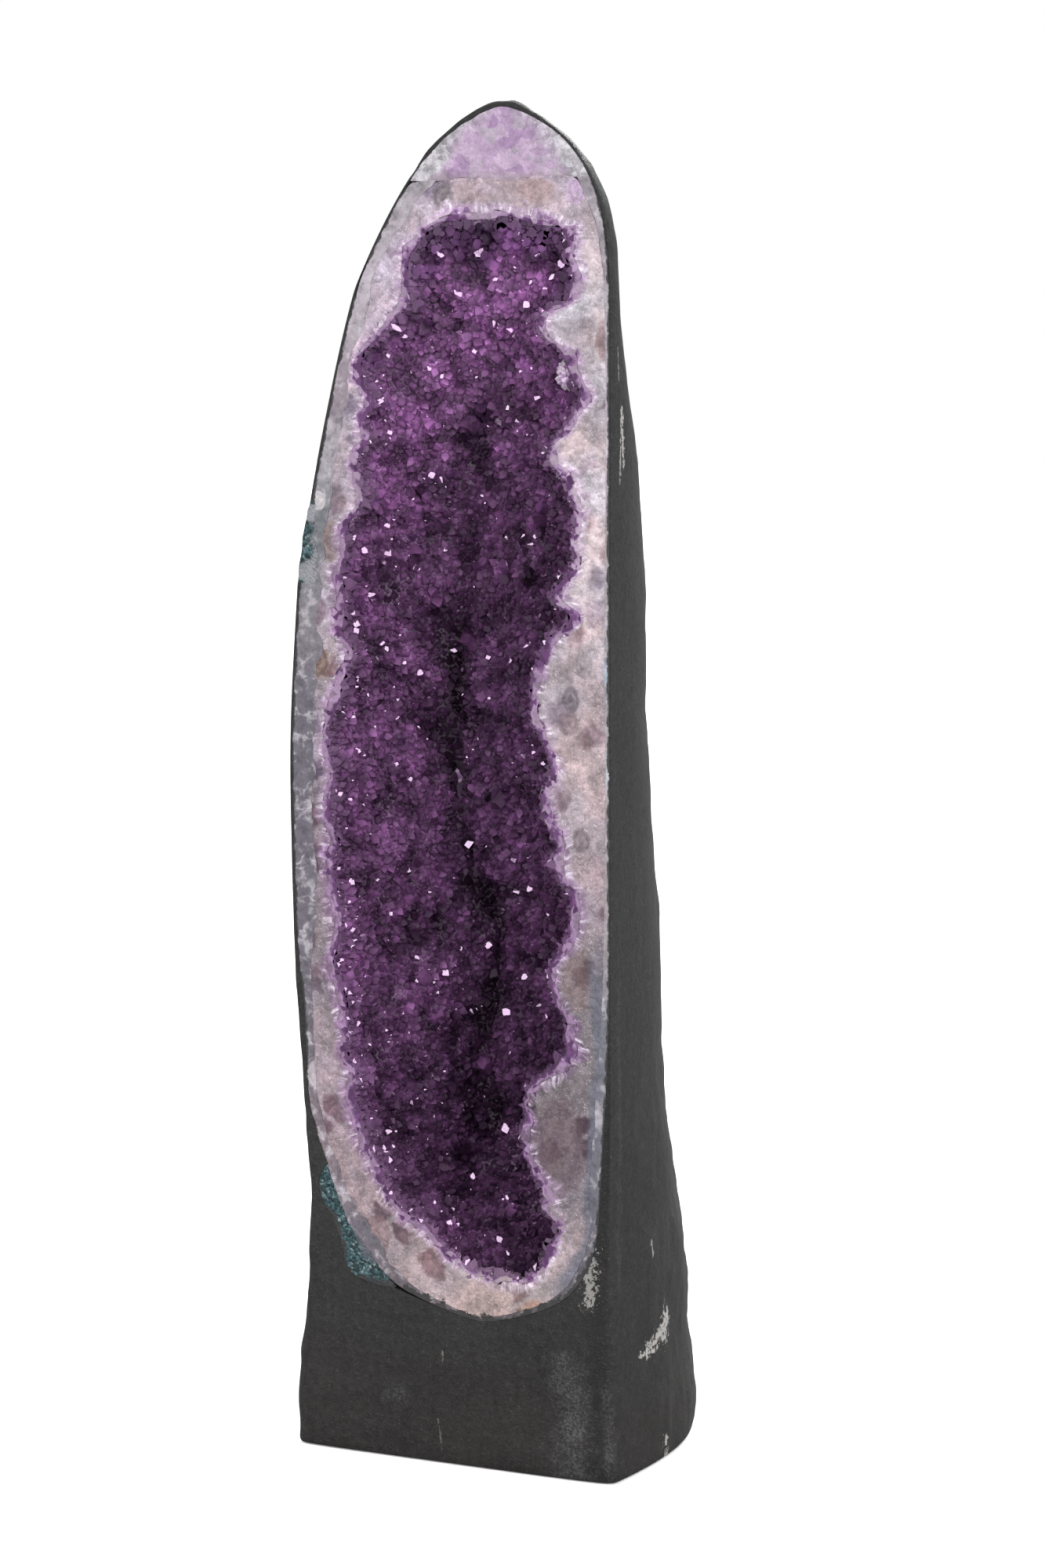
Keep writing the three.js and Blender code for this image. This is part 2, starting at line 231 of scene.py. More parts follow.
# Lobes and notches in the mouth of the cavity: a place on the face, how far its edge moves to the right, and how
# tall the lobe is, all in millimetres.
LOBE_WIDTH = 20 * MM
MOUTH_LOBES = [
    ((86, 782), 9, 13), ((80, 757), -12, 13), ((89, 702), 8, 12), ((82, 677), -6, 9), ((91, 640), 5, 16),
    ((90, 608), 5, 12), ((84, 587), -7, 8), ((84, 567), 12, 7), ((72, 524), -6, 20), ((82, 470), 4, 9),
    ((80, 447), -4, 8), ((87, 407), -8, 10), ((85, 336), -8, 10), ((87, 300), 6, 9), ((87, 277), 10, 10),
    ((72, 252), -10, 10), ((76, 198), 9, 11), ((70, 166), 5, 10),
    ((-8, 824), -13, 12), ((-27, 801), -9, 12), ((-45, 768), 5, 9), ((-64, 732), -8, 14), ((-66, 692), -5, 8),
    ((-68, 664), -9, 11), ((-78, 637), 4, 8), ((-84, 590), -4, 9), ((-86, 543), 6, 8), ((-92, 480), -4, 10),
    ((-90, 420), 4, 9), ((-88, 330), -4, 9), ((-76, 262), 5, 10), ((-50, 205), 6, 9), ((-30, 180), -5, 9),
]


def wander(points, coat_surface):
    """Shifts the rock's layers sideways, the same way in every piece, so that no line between them stays smooth."""
    _, room = nearest(coat_surface, points)
    share = smooth_step(room, 1.0 * MM, 20 * MM)[:, None]
    shift = np.zeros_like(points)
    for axis, seed in ((0, 3), (2, 7)):
        shift[:, axis] = 4.6 * layered_noise(points, 34 * MM, seed, 2) + 2.0 * lattice_noise(points, 12 * MM, seed + 40)
        shift[:, axis] += 1.7 * layered_noise(points, 6.5 * MM, seed + 60, 2)
    for (x, z), sideways, tall in MOUTH_LOBES:
        away = points - np.array(on_face(x, z))
        weight = np.exp(-(away[:, 0] / LOBE_WIDTH) ** 2 - (away[:, 2] / (1.2 * tall * MM)) ** 4)
        shift[:, 0] += sideways * weight
    return points + shift * share * MM


# The fold down the back of the cavity, sunk into the bed and darkened with painted shade: millimetres above the floor,
# right of the rock's middle line, darkness.
FOLD_PATH = [(190, -30, 0.4), (240, -38, 0.7), (280, -36, 0.9), (318, -30, 1.2), (350, -26, 2.1), (372, -36, 1.5),
             (392, -48, 0.7), (430, -44, 0.6), (470, -52, 1.0), (500, -44, 1.5), (530, -40, 1.4), (556, -48, 0.8),
             (580, -30, 0.5), (614, -24, 0.8), (650, -4, 0.5), (683, -12, 0.7), (720, 10, 0.3), (760, 2, 0.0)]


def fold_share(points):
    """How far each place lies in the fold, from 0 to 1: it sets how deep the bed sinks there and how much painted shade
    darkens it.
    """
    heights, places, darkness = np.array(FOLD_PATH, dtype=float).T
    middle = FACE_CENTRE + SIDEWAYS + np.interp(points[:, 2], heights * MM, places) * MM
    middle = middle + (4 * lattice_noise(points, 34 * MM, 71) + 4 * lattice_noise(points, 15 * MM, 72)) * MM
    width = (11 + 9 * lattice_noise(points, 30 * MM, 73)) * MM
    share = np.exp(-((points[:, 0] - middle) / np.maximum(width, 5 * MM)) ** 2)
    broken = 0.95 + 0.4 * lattice_noise(points, 22 * MM, 75)
    strength = np.interp(points[:, 2], heights * MM, darkness) * np.clip(broken, 0.3, 1.3)
    return share * np.minimum(strength, 1) * smooth_step(points[:, 1], FACE_Y + 22 * MM, FACE_Y + 45 * MM)


def meet(points, neighbour, under=0.35 * MM):
    """Carries the rim of a sawn piece a little way under its neighbour, so that no daylight shows between them."""
    near, gap = nearest(neighbour, points)
    edge = (gap < 0.5 * MM) & (gap > 1e-6)
    towards = (near - points)[edge] / gap[edge][:, None]
    points[edge] += towards * (gap[edge][:, None] + under)
    points[edge, 1] += 0.15 * MM
    return points


def hand_over(obj, material, slot, *nodes):
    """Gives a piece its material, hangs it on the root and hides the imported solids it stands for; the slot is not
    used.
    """
    obj.data.materials.append(material)
    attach(obj, "root")
    if nodes:
        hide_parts(*nodes)


def shade_smooth(obj, angle=35):
    select_only(obj)
    bpy.ops.object.shade_smooth_by_angle(angle=math.radians(angle))


# ---------------------------------------------------------------- shader helpers

class Wire:
    """A value in the material that is being wired. It takes plain sums with other wires and with numbers."""

    def __init__(self, socket):
        self.socket = socket

    def __add__(self, other):
        return maths("ADD", self, other)

    def __sub__(self, other):
        return maths("SUBTRACT", self, other)

    def __rsub__(self, other):
        return maths("SUBTRACT", other, self)

    def __mul__(self, other):
        return maths("MULTIPLY", self, other)

    def __truediv__(self, other):
        return maths("DIVIDE", self, other)


class Outputs:
    """What a node or a group puts out, as wires."""

    def __init__(self, sockets):
        self.sockets = sockets

    def __getitem__(self, key):
        return Wire(self.sockets[key])


class Bench:
    """Holds the node tree that is being wired."""
    tree = None


def plug(value, socket):
    """Puts a wire, or else a plain value, into a socket."""
    if isinstance(value, Wire):
        Bench.tree.links.new(value.socket, socket)
    else:
        socket.default_value = value


def plug_all(inputs, values):
    for name, value in values.items():
        plug(value, inputs[name])


def node(kind, inputs, **settings):
    made = Bench.tree.nodes.new("ShaderNode" + kind)
    for name, value in settings.items():
        setattr(made, name, value)
    plug_all(made.inputs, inputs)
    return Outputs(made.outputs)


def maths(operation, first, second=0.0, clamp=False):
    return node("Math", {0: first, 1: second}, operation=operation, use_clamp=clamp)[0]


def vector(operation, first, second=(0, 0, 0), output=0):
    return node("VectorMath", {0: first, 1: second}, operation=operation)[output]


def scaled(first, scale):
    return node("VectorMath", {0: first, "Scale": scale}, operation="SCALE")[0]


def split(place):
    """How far right, how far back and how high a place is."""
    parts = node("SeparateXYZ", {0: place})
    return parts[0], parts[1], parts[2]


def spread(value, low, high, to_low=0.0, to_high=1.0):
    inputs = {"Value": value, "From Min": low, "From Max": high, "To Min": to_low, "To Max": to_high}
    return node("MapRange", inputs, interpolation_type="SMOOTHSTEP")[0]


def even_spread(value, low, high):
    return node("MapRange", {"Value": value, "From Min": low, "From Max": high})[0]


def colour_of(value):
    """Three plain numbers are a display colour. Anything else is used as it is."""
    return linear(*value) if isinstance(value, tuple) and len(value) == 3 else value


def mix(factor, first, second, blend="MIX"):
    inputs = {0: factor, 6: colour_of(first), 7: colour_of(second)}
    return node("Mix", inputs, data_type="RGBA", blend_type=blend)[2]


def grey(value):
    return node("CombineColor", {0: value, 1: value, 2: value})[0]


def shaded(colour, tone):
    """A colour made lighter or darker by a tone."""
    return mix(1.0, colour, grey(tone), "MULTIPLY")


def noise(place, scale, detail=2.0, roughness=0.5, output="Fac"):
    inputs = {"Vector": place, "Scale": scale, "Detail": detail, "Roughness": roughness}
    return node("TexNoise", inputs)[output]


def nudged(place, scale, reach):
    """The place, pushed about by soft noise."""
    centred = vector("SUBTRACT", noise(place, scale, output="Color"), (0.5, 0.5, 0.5))
    return vector("ADD", place, scaled(centred, reach))


def cells(place, scale, **settings):
    """How far each place is from the middle or edge of its cell, and three numbers picked for the cell."""
    made = node("TexVoronoi", {"Vector": place, "Scale": scale}, **settings)
    return made["Distance"], made


def picks(made):
    return node("SeparateColor", {"Color": made["Color"]})


def ramp(factor, stops):
    """A colour ramp from (place, red, green, blue) stops."""
    made = Bench.tree.nodes.new("ShaderNodeValToRGB")
    plug(factor, made.inputs["Fac"])
    bar = made.color_ramp
    while len(bar.elements) < len(stops):
        bar.elements.new(1.0)
    for element, (place, *colour) in zip(bar.elements, stops):
        element.position = place
        element.color = linear(*colour)
    return Wire(made.outputs["Color"])


def up_ramp(height, stops):
    """A colour ramp whose stops are (millimetres above the floor, red, green, blue)."""
    low, high = stops[0][0], stops[-1][0]
    share = even_spread(height, low * MM, high * MM)
    return ramp(share, [((z - low) / (high - low), *colour) for z, *colour in stops])


def stored(name, output="Fac"):
    """What the piece's mesh keeps under a name."""
    return node("Attribute", {}, attribute_name=name)[output]


def new_group(name, inputs, outputs):
    """An empty node group. Inputs are (name, kind, default), outputs are (name, kind)."""
    Bench.tree = tree = bpy.data.node_groups.new(name, "ShaderNodeTree")
    for label, kind, value in inputs:
        socket = tree.interface.new_socket(label, in_out="INPUT", socket_type="NodeSocket" + kind)
        if value is not None:
            socket.default_value = value
    for label in outputs:
        tree.interface.new_socket(label, in_out="OUTPUT", socket_type="NodeSocketFloat")
    return tree, Outputs(tree.nodes.new("NodeGroupInput").outputs), tree.nodes.new("NodeGroupOutput").inputs


def use_group(group, inputs):
    made = Bench.tree.nodes.new("ShaderNodeGroup")
    made.node_tree = group
    plug_all(made.inputs, inputs)
    return Outputs(made.outputs)


def new_material(name):
    """A material to wire, its shader's inputs and the place on the piece."""
    material = bpy.data.materials.new(name)
    material.use_nodes = True
    Bench.tree = material.node_tree
    return material, Bench.tree.nodes["Principled BSDF"].inputs, node("TexCoord", {})["Object"]


def bump(shader, height, strength, distance):
    plug(node("Bump", {"Height": height, "Strength": strength, "Distance": distance})[0], shader["Normal"])


# ---------------------------------------------------------------- shared effects

def make_sugar_group():
    """The sparkling grain of broken quartz: coarse grains, fine sugar and scattered white specks."""
    tree, given, made = new_group(
        "sugar_grain", [("Vector", "Vector", None), ("Grain", "Float", 400.0)], ["Tone", "Specks", "Height"])
    place, grain = given["Vector"], given["Grain"]
    off, coarse = cells(place, grain)
    fine = noise(place, grain * 2.2, 3.0, 0.7)
    mottled = noise(place, grain * 0.35)
    tone = picks(coarse)[0] * 0.35 + fine * 0.65
    plug_all(made, {"Tone": mottled * 0.5 + tone * 0.7, "Specks": spread(fine, 0.58, 0.72),
                    "Height": fine * 0.6 + (1.0 - off) * 0.5})
    return tree


def make_eye_group():
    """One round agate eye on the sawn face: a soft-edged disc with rings inside it."""
    tree, given, made = new_group(
        "agate_eye",
        [("Vector", "Vector", None), ("Centre", "Vector", None), ("Radius", "Float", 0.008),
         ("Stretch", "Float", 1.0)],
        ["Disc", "Rings"])
    across, _, up = split(vector("SUBTRACT", given["Vector"], given["Centre"]))
    across = across / given["Radius"]
    up = up / (given["Radius"] * given["Stretch"])
    warped = noise(given["Vector"], 160.0) * 0.5 + maths("SQRT", across * across + up * up) - 0.25
    plug_all(made, {"Disc": spread(warped, 1.08, 0.86), "Rings": maths("SINE", warped * 11.0) * 0.5 + 0.5})
    return tree


# ---------------------------------------------------------------- settings

def colour_setting(name, description, *display):
    return bpy.props.FloatVectorProperty(name=name, description=description, subtype="COLOR", size=4,
                                         default=linear(*display), min=0, max=1)


def size_setting(name, description, default, least=0.0):
    return bpy.props.FloatProperty(name=name, description=description, unit="LENGTH", default=default * MM,
                                   min=least * MM)


class GeodeCementSettings(bpy.types.PropertyGroup):
    paint: colour_setting("Paint", "Colour of the painted cement", 48, 48, 49)
    scuff: colour_setting("Scuffs", "Colour where the paint is scraped off", 176, 173, 170)
    swell: size_setting("Trowel swell", "Height of the uneven trowelled surface", 1.7)


class GeodeRimSettings(bpy.types.PropertyGroup):
    fineness: size_setting("Face fineness", "Longest mesh edge on the sawn face", 3.2, 1)
    relief: size_setting("Face relief", "Depth of the grain left by sawing and breaking", 0.45)
    grain: bpy.props.FloatProperty(name="Grain", description="Quartz grains to the metre", default=420.0, min=10)


class GeodeCrystalSettings(bpy.types.PropertyGroup):
    seed: bpy.props.IntProperty(name="Seed", description="Which arrangement of crystals grows", default=5)
    large: size_setting("Large radius", "Radius of the largest drusy crystals", 4.1, 1)
    small: size_setting("Small radius", "Radius of the smallest drusy crystals", 1.05, 0.5)
    tip: colour_setting("Tip", "Colour of the crystal points", 135, 93, 138)
    # Painted shade: the root colour darkens each crystal's foot, deep between the crystals.
    root: colour_setting("Root", "Colour deep between the crystals", 86, 56, 92)


class GeodeStageSettings(bpy.types.PropertyGroup):
    key: bpy.props.FloatProperty(name="Key light", description="Strength of the main light", default=3.2, min=0)
    room: bpy.props.FloatProperty(name="Room light", description="Brightness of the room around the part",
                                  default=0.36, min=0)


# ---------------------------------------------------------------- the stage

class GEODE_OT_stage(bpy.types.Operator):
    """Sets up the floor, the soft studio lights and the camera"""
    bl_idname = "geode.stage"
    bl_label = "Stage"

    def execute(self, context):
        settings = context.scene.geode_stage
        self.make_camera(context)
        self.make_floor()
        self.make_room(context, settings)
        self.make_lights(settings)
        context.scene.view_settings.view_transform = "Standard"
        return {"FINISHED"}

    def make_camera(self, context):
        eye_distance = 2.9
        eye_azimuth = math.radians(30)
        eye_height = 0.7236
        tilt, turn = math.radians(84.746), math.radians(29.095)
        bpy.ops.object.camera_add(rotation=(tilt, 0, turn))
        camera = context.object
        camera.location = on_face(0, 0) + Vector((
            eye_distance * math.sin(eye_azimuth), -eye_distance * math.cos(eye_azimuth), eye_height))
        camera.data.lens = 101.54
        camera.data.sensor_width = 36
        camera.data.clip_end = 50
        camera.data.dof.use_dof = False
        context.scene.camera = camera

    def make_floor(self):
        """A white floor that throws little light back up at the part."""
        bpy.ops.mesh.primitive_plane_add(size=60)
        floor = bpy.context.object
        floor.name = "studio_floor"
        material, shader, _ = new_material("pale_floor")
        seen = node("LightPath", {})["Is Camera Ray"]
        plug_all(shader, {"Base Color": mix(seen, (0.3, 0.3, 0.3, 1), (0.93, 0.93, 0.93, 1)), "Roughness": 1.0,
                          "Specular IOR Level": 0.0, "Emission Color": (1, 1, 1, 1),
                          "Emission Strength": seen * 0.25})
        floor.data.materials.append(material)

    def make_room(self, context, settings):
        world = bpy.data.worlds.new("studio_room")
        context.scene.world = world
        world.use_nodes = True
        Bench.tree = world.node_tree
        path = node("LightPath", {})
        lit = path["Is Glossy Ray"] * (-settings.room * 0.4) + settings.room
        strength = node("MapRange", {"Value": path["Is Camera Ray"], "To Min": lit, "To Max": 1.0})[0]
        plug_all(Bench.tree.nodes["Background"].inputs, {"Strength": strength, "Color": (1, 1, 1, 1)})

    def make_lights(self, settings):
        """Distant soft lights: each has a share of the key's strength, a direction and an apparent width."""
        for name, share, azimuth, elevation, width in (
                ("key_light", 0.30, 64, 28, 17),
                ("key_light_high", 0.20, 84, 50, 14),
                ("key_light_side", 0.20, 100, 20, 13),
                ("key_light_low", 0.11, 52, 8, 10),
                ("front_light", 0.12, -14, 36, 11),
                ("front_light_right", 0.12, 18, 20, 11),
                ("high_light", 0.18, 34, 60, 14),
                ("high_light_left", 0.10, -40, 62, 11),
                ("side_light_left", 0.10, -70, 26, 11),
                ("back_light", 0.95, 188, 34, 18),
                ("back_light_left", 0.16, 262, 24, 16)):
            turn, lift = math.radians(azimuth), math.radians(elevation)
            out = Vector((math.sin(turn) * math.cos(lift), -math.cos(turn) * math.cos(lift), math.sin(lift)))
            bpy.ops.object.light_add(type="SUN", location=out * 3)
            light = bpy.context.object
            light.name = name
            light.rotation_euler = (-out).to_track_quat("-Z", "Y").to_euler()
            light.data.energy = settings.key * share
            light.data.angle = math.radians(width)


# ---------------------------------------------------------------- cement coat and foot

# Scrapes and rubbed places on the paint: start, end, half width, which plane it lies in, strength.
# Places are millimetres right of the rock's middle line, behind the sawn face and above the floor.
SIDE, FRONT = (0, 1, 1), (1, 0, 1)
SCRAPES = [
    ((118, 15, 702), (118, 18, 668), 1.9, SIDE, 1.0),
    ((118, 14, 690), (118, 12, 655), 0.9, SIDE, 0.7),
    ((118, 9, 742), (118, 11, 722), 0.7, SIDE, 0.5),
    ((118, 90, 96), (118, 86, 86), 5.5, SIDE, 1.0),
    ((118, 88, 90), (118, 56, 80), 3.6, SIDE, 0.95),
    ((118, 72, 78), (118, 44, 78), 1.6, SIDE, 0.9),
    ((118, 84, 14), (118, 86, 2), 2.6, SIDE, 0.9),
    ((118, 60, 152), (118, 62, 144), 1.6, SIDE, 0.7),
    ((118, 150, 300), (118, 154, 262), 1.2, SIDE, 0.5),
    ((118, 120, 520), (118, 126, 505), 1.6, SIDE, 0.5),
    ((104, 0, 208), (103, 0, 176), 1.3, FRONT, 0.7),
    ((102, 0, 158), (103, 0, 122), 4.2, FRONT, 0.75),
    ((98, 0, 160), (106, 0, 160), 0.8, FRONT, 0.8),
    ((-8, 0, 76), (-8, 0, 68), 0.7, FRONT, 0.35),
    ((-12, 0, 30), (-9, 0, 10), 0.6, FRONT, 0.25),
]
RUBS = [
    ((86, 0, 74), (92, 0, 34), 13.0, FRONT, 0.30),
    ((88, 0, 22), (90, 0, 10), 15.0, FRONT, 0.24),
    ((-46, 0, 42), (-42, 0, 43), 9.0, FRONT, 0.16),
    ((114, 0, 60), (116, 0, 5), 3.0, FRONT, 0.18),
    ((118, 10, 330), (118, 12, 130), 3.0, SIDE, 0.10),
]


def make_scrape_group():
    """A scrape along a line from one place to another, broken up by the grain it runs over."""
    tree, given, made = new_group(
        "scrape",
        [("Vector", "Vector", None), ("From", "Vector", None), ("To", "Vector", None),
         ("Half Width", "Float", 0.003), ("Plane", "Vector", None), ("Grit", "Float", 260.0),
         ("Tear", "Float", 6.0), ("Blur", "Float", 0.17)],
        ["Mask"])
    middle = 0.62                             # where the torn edge lies, as a share of the half width
    along = vector("MULTIPLY", vector("SUBTRACT", given["To"], given["From"]), given["Plane"])
    away = vector("MULTIPLY", vector("SUBTRACT", given["Vector"], given["From"]), given["Plane"])
    done = vector("DOT_PRODUCT", away, along, "Value")
    whole = vector("DOT_PRODUCT", along, along, "Value")
    foot = scaled(along, maths("DIVIDE", done, whole, clamp=True))
    ratio = vector("DISTANCE", away, foot, "Value") / given["Half Width"]
    rough = noise(given["Vector"], given["Grit"], 4.0, 0.75)
    torn = ratio * 0.8 + (0.5 - rough) * given["Tear"]
    plug(spread(torn, given["Blur"] + middle, middle - given["Blur"]), made["Mask"])
    return tree


def paint_material(settings):
    group = make_scrape_group()
    material, shader, place = new_material("grey_cement_paint")
    across, behind, up = split(place)
    grain = noise(place, 520.0, 4.0, 0.8)
    sand, _ = cells(place, 760.0)
    pits = noise(place, 240.0, 3.0, 0.6)
    patchy = noise(place, 16.0, 4.0, 0.6)
    runs = noise(vector("MULTIPLY", place, (1.0, 1.0, 0.12)), 140.0, 3.0, 0.6)
    mottle = noise(place, 190.0, 4.0, 0.7)
    shade = patchy * 0.7 + runs * 0.6 + grain * 2.0 + mottle * 1.5 - 1.49
    # Painted shade: the side face is made darker towards the bottom.
    low = spread(up, 420 * MM, 160 * MM, 0.92, 0.66)
    on_side = spread(across, 100 * MM, 112 * MM)
    shade = shade * (on_side * (low - 1.0) + 1.0)
    warm = spread(up, 170 * MM, 20 * MM, 0.0, 0.8)
    colour = mix(warm, settings.paint, mix(patchy, (42, 38, 38), (46, 42, 40)))
    colour = shaded(colour, shade)
    # Light sand grains, partly painted glints where the sandy paint would catch the light.
    specks = spread(sand, 0.3, 0.12) * spread(pits, 0.5, 0.6)
    colour = mix(specks * 0.4, colour, (128, 127, 127))
    colour = mix(spread(pits, 0.38, 0.28, 0.0, 0.55), colour, (34, 33, 34))
    facing = {SIDE: spread(across, 70 * MM, 90 * MM), FRONT: spread(behind, FACE_Y + 14 * MM, FACE_Y + 6 * MM)}
    chalk = spread(noise(place, 520.0, 3.0, 0.7), 0.42, 0.66, 0.25, 1.5)
    for marks, tint, grit, tear, blur in ((RUBS, (118, 119, 121), 90.0, 3.2, 0.6),
                                          (SCRAPES, settings.scuff, 300.0, 8.0, 0.15)):
        for start, end, half, plane, strength in marks:
            ends = [on_face(x, z, y) for x, y, z in (start, end)]
            mask = use_group(group, {"Vector": place, "From": ends[0], "To": ends[1], "Half Width": half * MM,
                                     "Plane": plane, "Grit": grit, "Tear": tear, "Blur": blur})["Mask"]
            mask = mask * facing[plane]
            if marks is RUBS:
                mask = mask * chalk
            colour = mix(mask * strength, colour, tint)
    plug_all(shader, {"Base Color": colour, "Roughness": spread(patchy, 0.3, 0.7, 0.62, 0.8)})
    bump(shader, grain * 0.35 + pits * 0.9 + (1.0 - sand) * 0.25, 0.8, 1.1 * MM)
    return material


class GEODE_OT_cement_coat(bpy.types.Operator):
    """Makes the trowelled and painted cement coat with its foot"""
    bl_idname = "geode.cement_coat"
    bl_label = "Cement coat"

    def execute(self, context):
        settings = context.scene.geode_cement
        coat = merged_copy("cement_coat_and_foot", "cement_coat")
        round_over(coat, 3)
        refine_face(coat, 5 * MM)
        points = coordinates(coat)
        normals = coordinates(coat, "normal")
        _, off_rock = nearest(tree_of("agate_band"), points)
        outside = smooth_step(off_rock, 2 * MM, 6 * MM)
        buried = (points[:, 1] > FACE_Y + 0.5 * MM) & (off_rock < 1.5 * MM)
        swell = layered_noise(points, 48 * MM, 21, 3) * settings.swell
        dents = layered_noise(points * np.array((1, 1, 0.45)), 13 * MM, 31, 2) * 0.5 * MM
        strokes = lattice_noise(points * np.array((0.35, 0.35, 1)), 11 * MM, 37)
        dents += np.abs(strokes) * 0.5 * MM * smooth_step(points[:, 1], -20 * MM, 20 * MM)
        flat = np.abs(points[:, 1] - FACE_Y) < 0.1 * MM
        push = (swell + dents) * outside * np.where(buried, 0, 1) * np.where(flat, 0.35, 1)
        push *= smooth_step(points[:, 2], 0.2 * MM, 9 * MM)
        points = points + normals * push[:, None]
        place_coordinates(coat, points)
        shade_smooth(coat, 50)
        hand_over(coat, paint_material(settings), "painted_cement", "cement_coat_and_foot")
        return {"FINISHED"}


# ---------------------------------------------------------------- the rim: agate, quartz, tip and rind

QUARTZ_LEFT = [(105, 160, 140, 144), (170, 132, 108, 114), (215, 134, 112, 122),
               (262, 139, 119, 132), (300, 114, 97, 108), (430, 112, 97, 112),
               (490, 143, 123, 142), (525, 130, 111, 118), (560, 176, 160, 176),
               (610, 132, 117, 126), (680, 172, 156, 170), (745, 188, 168, 187),
               (850, 172, 154, 168)]
QUARTZ_RIGHT = [(105, 164, 140, 134), (150, 156, 138, 144), (185, 88, 76, 86),
                (250, 72, 58, 69), (320, 80, 68, 75), (375, 137, 118, 130),
                (430, 154, 134, 140), (475, 182, 162, 168), (515, 148, 133, 141),
                (560, 189, 174, 181), (640, 204, 191, 198), (682, 174, 158, 165),
                (720, 186, 173, 181), (785, 191, 181, 188), (850, 164, 144, 160)]
FRINGE_LEFT = [(105, 168, 142, 160), (230, 146, 118, 146), (420, 136, 110, 136),
               (470, 168, 144, 168), (600, 150, 126, 150), (660, 186, 166, 184),
               (705, 160, 132, 160), (850, 198, 178, 200)]
FRINGE_RIGHT = [(105, 176, 152, 160), (150, 180, 164, 174), (215, 118, 96, 120),
                (300, 122, 102, 124), (400, 156, 132, 158), (470, 178, 158, 174),
                (530, 148, 128, 150), (640, 206, 186, 204), (720, 182, 160, 182),
                (850, 180, 158, 182)]
AGATE_LEFT = [(100, 104, 92, 98), (150, 112, 106, 116), (210, 134, 118, 126),
              (270, 112, 106, 116), (400, 110, 104, 115), (500, 108, 104, 114),
              (560, 130, 124, 132), (625, 120, 122, 128), (680, 170, 163, 171),
              (705, 140, 128, 138), (780, 186, 176, 186), (850, 160, 152, 160)]
AGATE_RIGHT = [(100, 92, 86, 90), (200, 112, 110, 120), (300, 118, 118, 128),
               (360, 156, 148, 152), (480, 164, 156, 160), (540, 132, 134, 142),
               (580, 152, 143, 147), (700, 176, 166, 174), (850, 150, 142, 150)]


def sided_ramps(place, left, right):
    """Blends two height ramps, one for each side of the opening."""
    across, _, up = split(place)
    return mix(spread(across, -12 * MM, 30 * MM), up_ramp(up, left), up_ramp(up, right))


# Round growths cut through by the saw: right of the rock's middle line, above the floor, radius, stretch, strength,
# outer and inner colour.
QUARTZ_EYES = [
    (37, 841, 48.0, 0.24, 0.4, (168, 146, 150), (176, 152, 150)),
    (62, 844, 13.0, 0.6, 0.42, (164, 136, 130), (154, 126, 122)),
    (18, 836, 9.0, 1.0, 0.38, (160, 134, 134), (150, 124, 126)),
    (-7, 841, 9.0, 0.9, 0.75, (150, 140, 146), (118, 110, 116)),
    (92, 843, 7.5, 1.2, 0.7, (206, 182, 208), (176, 146, 184)),
    (-104, 534, 9.0, 1.25, 0.85, (148, 124, 112), (104, 84, 78)),
    (88, 516, 6.5, 1.4, 0.75, (134, 126, 136), (112, 104, 112)),
    (86, 500, 8.0, 1.0, 0.6, (142, 124, 128), (122, 106, 112)),
    (96, 424, 6.5, 1.2, 0.8, (134, 122, 126), (118, 106, 110)),
    (98, 540, 6.0, 1.9, 0.55, (128, 124, 132), (150, 142, 148)),
    (83, 749, 9.5, 1.3, 0.5, (156, 148, 158), (176, 166, 176)),
    (-95, 615, 9.5, 1.5, 0.75, (146, 124, 118), (116, 98, 98)),
    (79, 221, 20.0, 1.7, 0.7, (112, 94, 100), (104, 84, 96)),
    (92, 333, 12.0, 1.8, 0.4, (140, 116, 114), (126, 104, 106)),
    (62, 112, 10.0, 0.6, 0.6, (186, 140, 116), (176, 138, 122)),
    (66, 815, 10.0, 0.8, 0.5, (190, 158, 196), (172, 138, 182)),
    (-60, 150, 12.0, 1.2, 0.55, (136, 108, 108), (118, 92, 96)),
    (-93, 330, 9.0, 2.4, 0.4, (104, 92, 106), (96, 84, 98)),
]
AGATE_EYES = [
    (109, 533, 6.5, 1.7, 0.8, (158, 172, 190), (176, 186, 200)),
    (-106, 256, 8.0, 1.2, 0.7, (208, 200, 204), (190, 182, 190)),
    (-104, 642, 7.0, 0.9, 0.8, (214, 208, 208), (196, 190, 194)),
    (112, 470, 5.0, 2.6, 0.6, (150, 164, 178), (196, 200, 206)),
]


def add_eyes(place, colour, eyes, group):
    for x, z, radius, stretch, strength, outer, inner in eyes:
        eye = use_group(group, {"Vector": place, "Centre": on_face(x, z), "Radius": radius * MM,
                                "Stretch": stretch})
        colour = mix(eye["Disc"] * strength, colour, mix(eye["Rings"], outer, inner))
    return colour


def deepening(place, depth, pale):
    """Pale quartz that turns through lilac to deep purple, crystal by crystal, as it nears the cavity."""
    pick = picks(cells(nudged(place, 200.0, 2 * MM), 270.0)[1])
    drift = (noise(place, 48.0, 3.0, 0.6) - 0.5) * (22 * MM)
    share = even_spread(depth + pick[0] * (6 * MM) + drift, 1.5 * MM, 10 * MM)
    purple = mix(pick[2], (84, 50, 92), (116, 74, 124))
    lilac = mix(spread(share, 0.0, 0.6), pale, (184, 150, 190))
    return shaded(mix(spread(share, 0.35, 0.8), lilac, purple), pick[1] * 0.4 + 0.8)


def cement_smear(place, colour):
    """Cement dragged over the outermost edge of the rock, most of all at its foot."""
    reach = spread(split(place)[2], 190 * MM, 120 * MM, 5.0 * MM, 24 * MM)
    off = stored("from_coat") - reach * (noise(place, 110.0, 5.0, 0.65) - 0.36)
    return mix(spread(off, 1.0 * MM, 0.3 * MM, 0.0, 0.94), colour, (62, 61, 62))


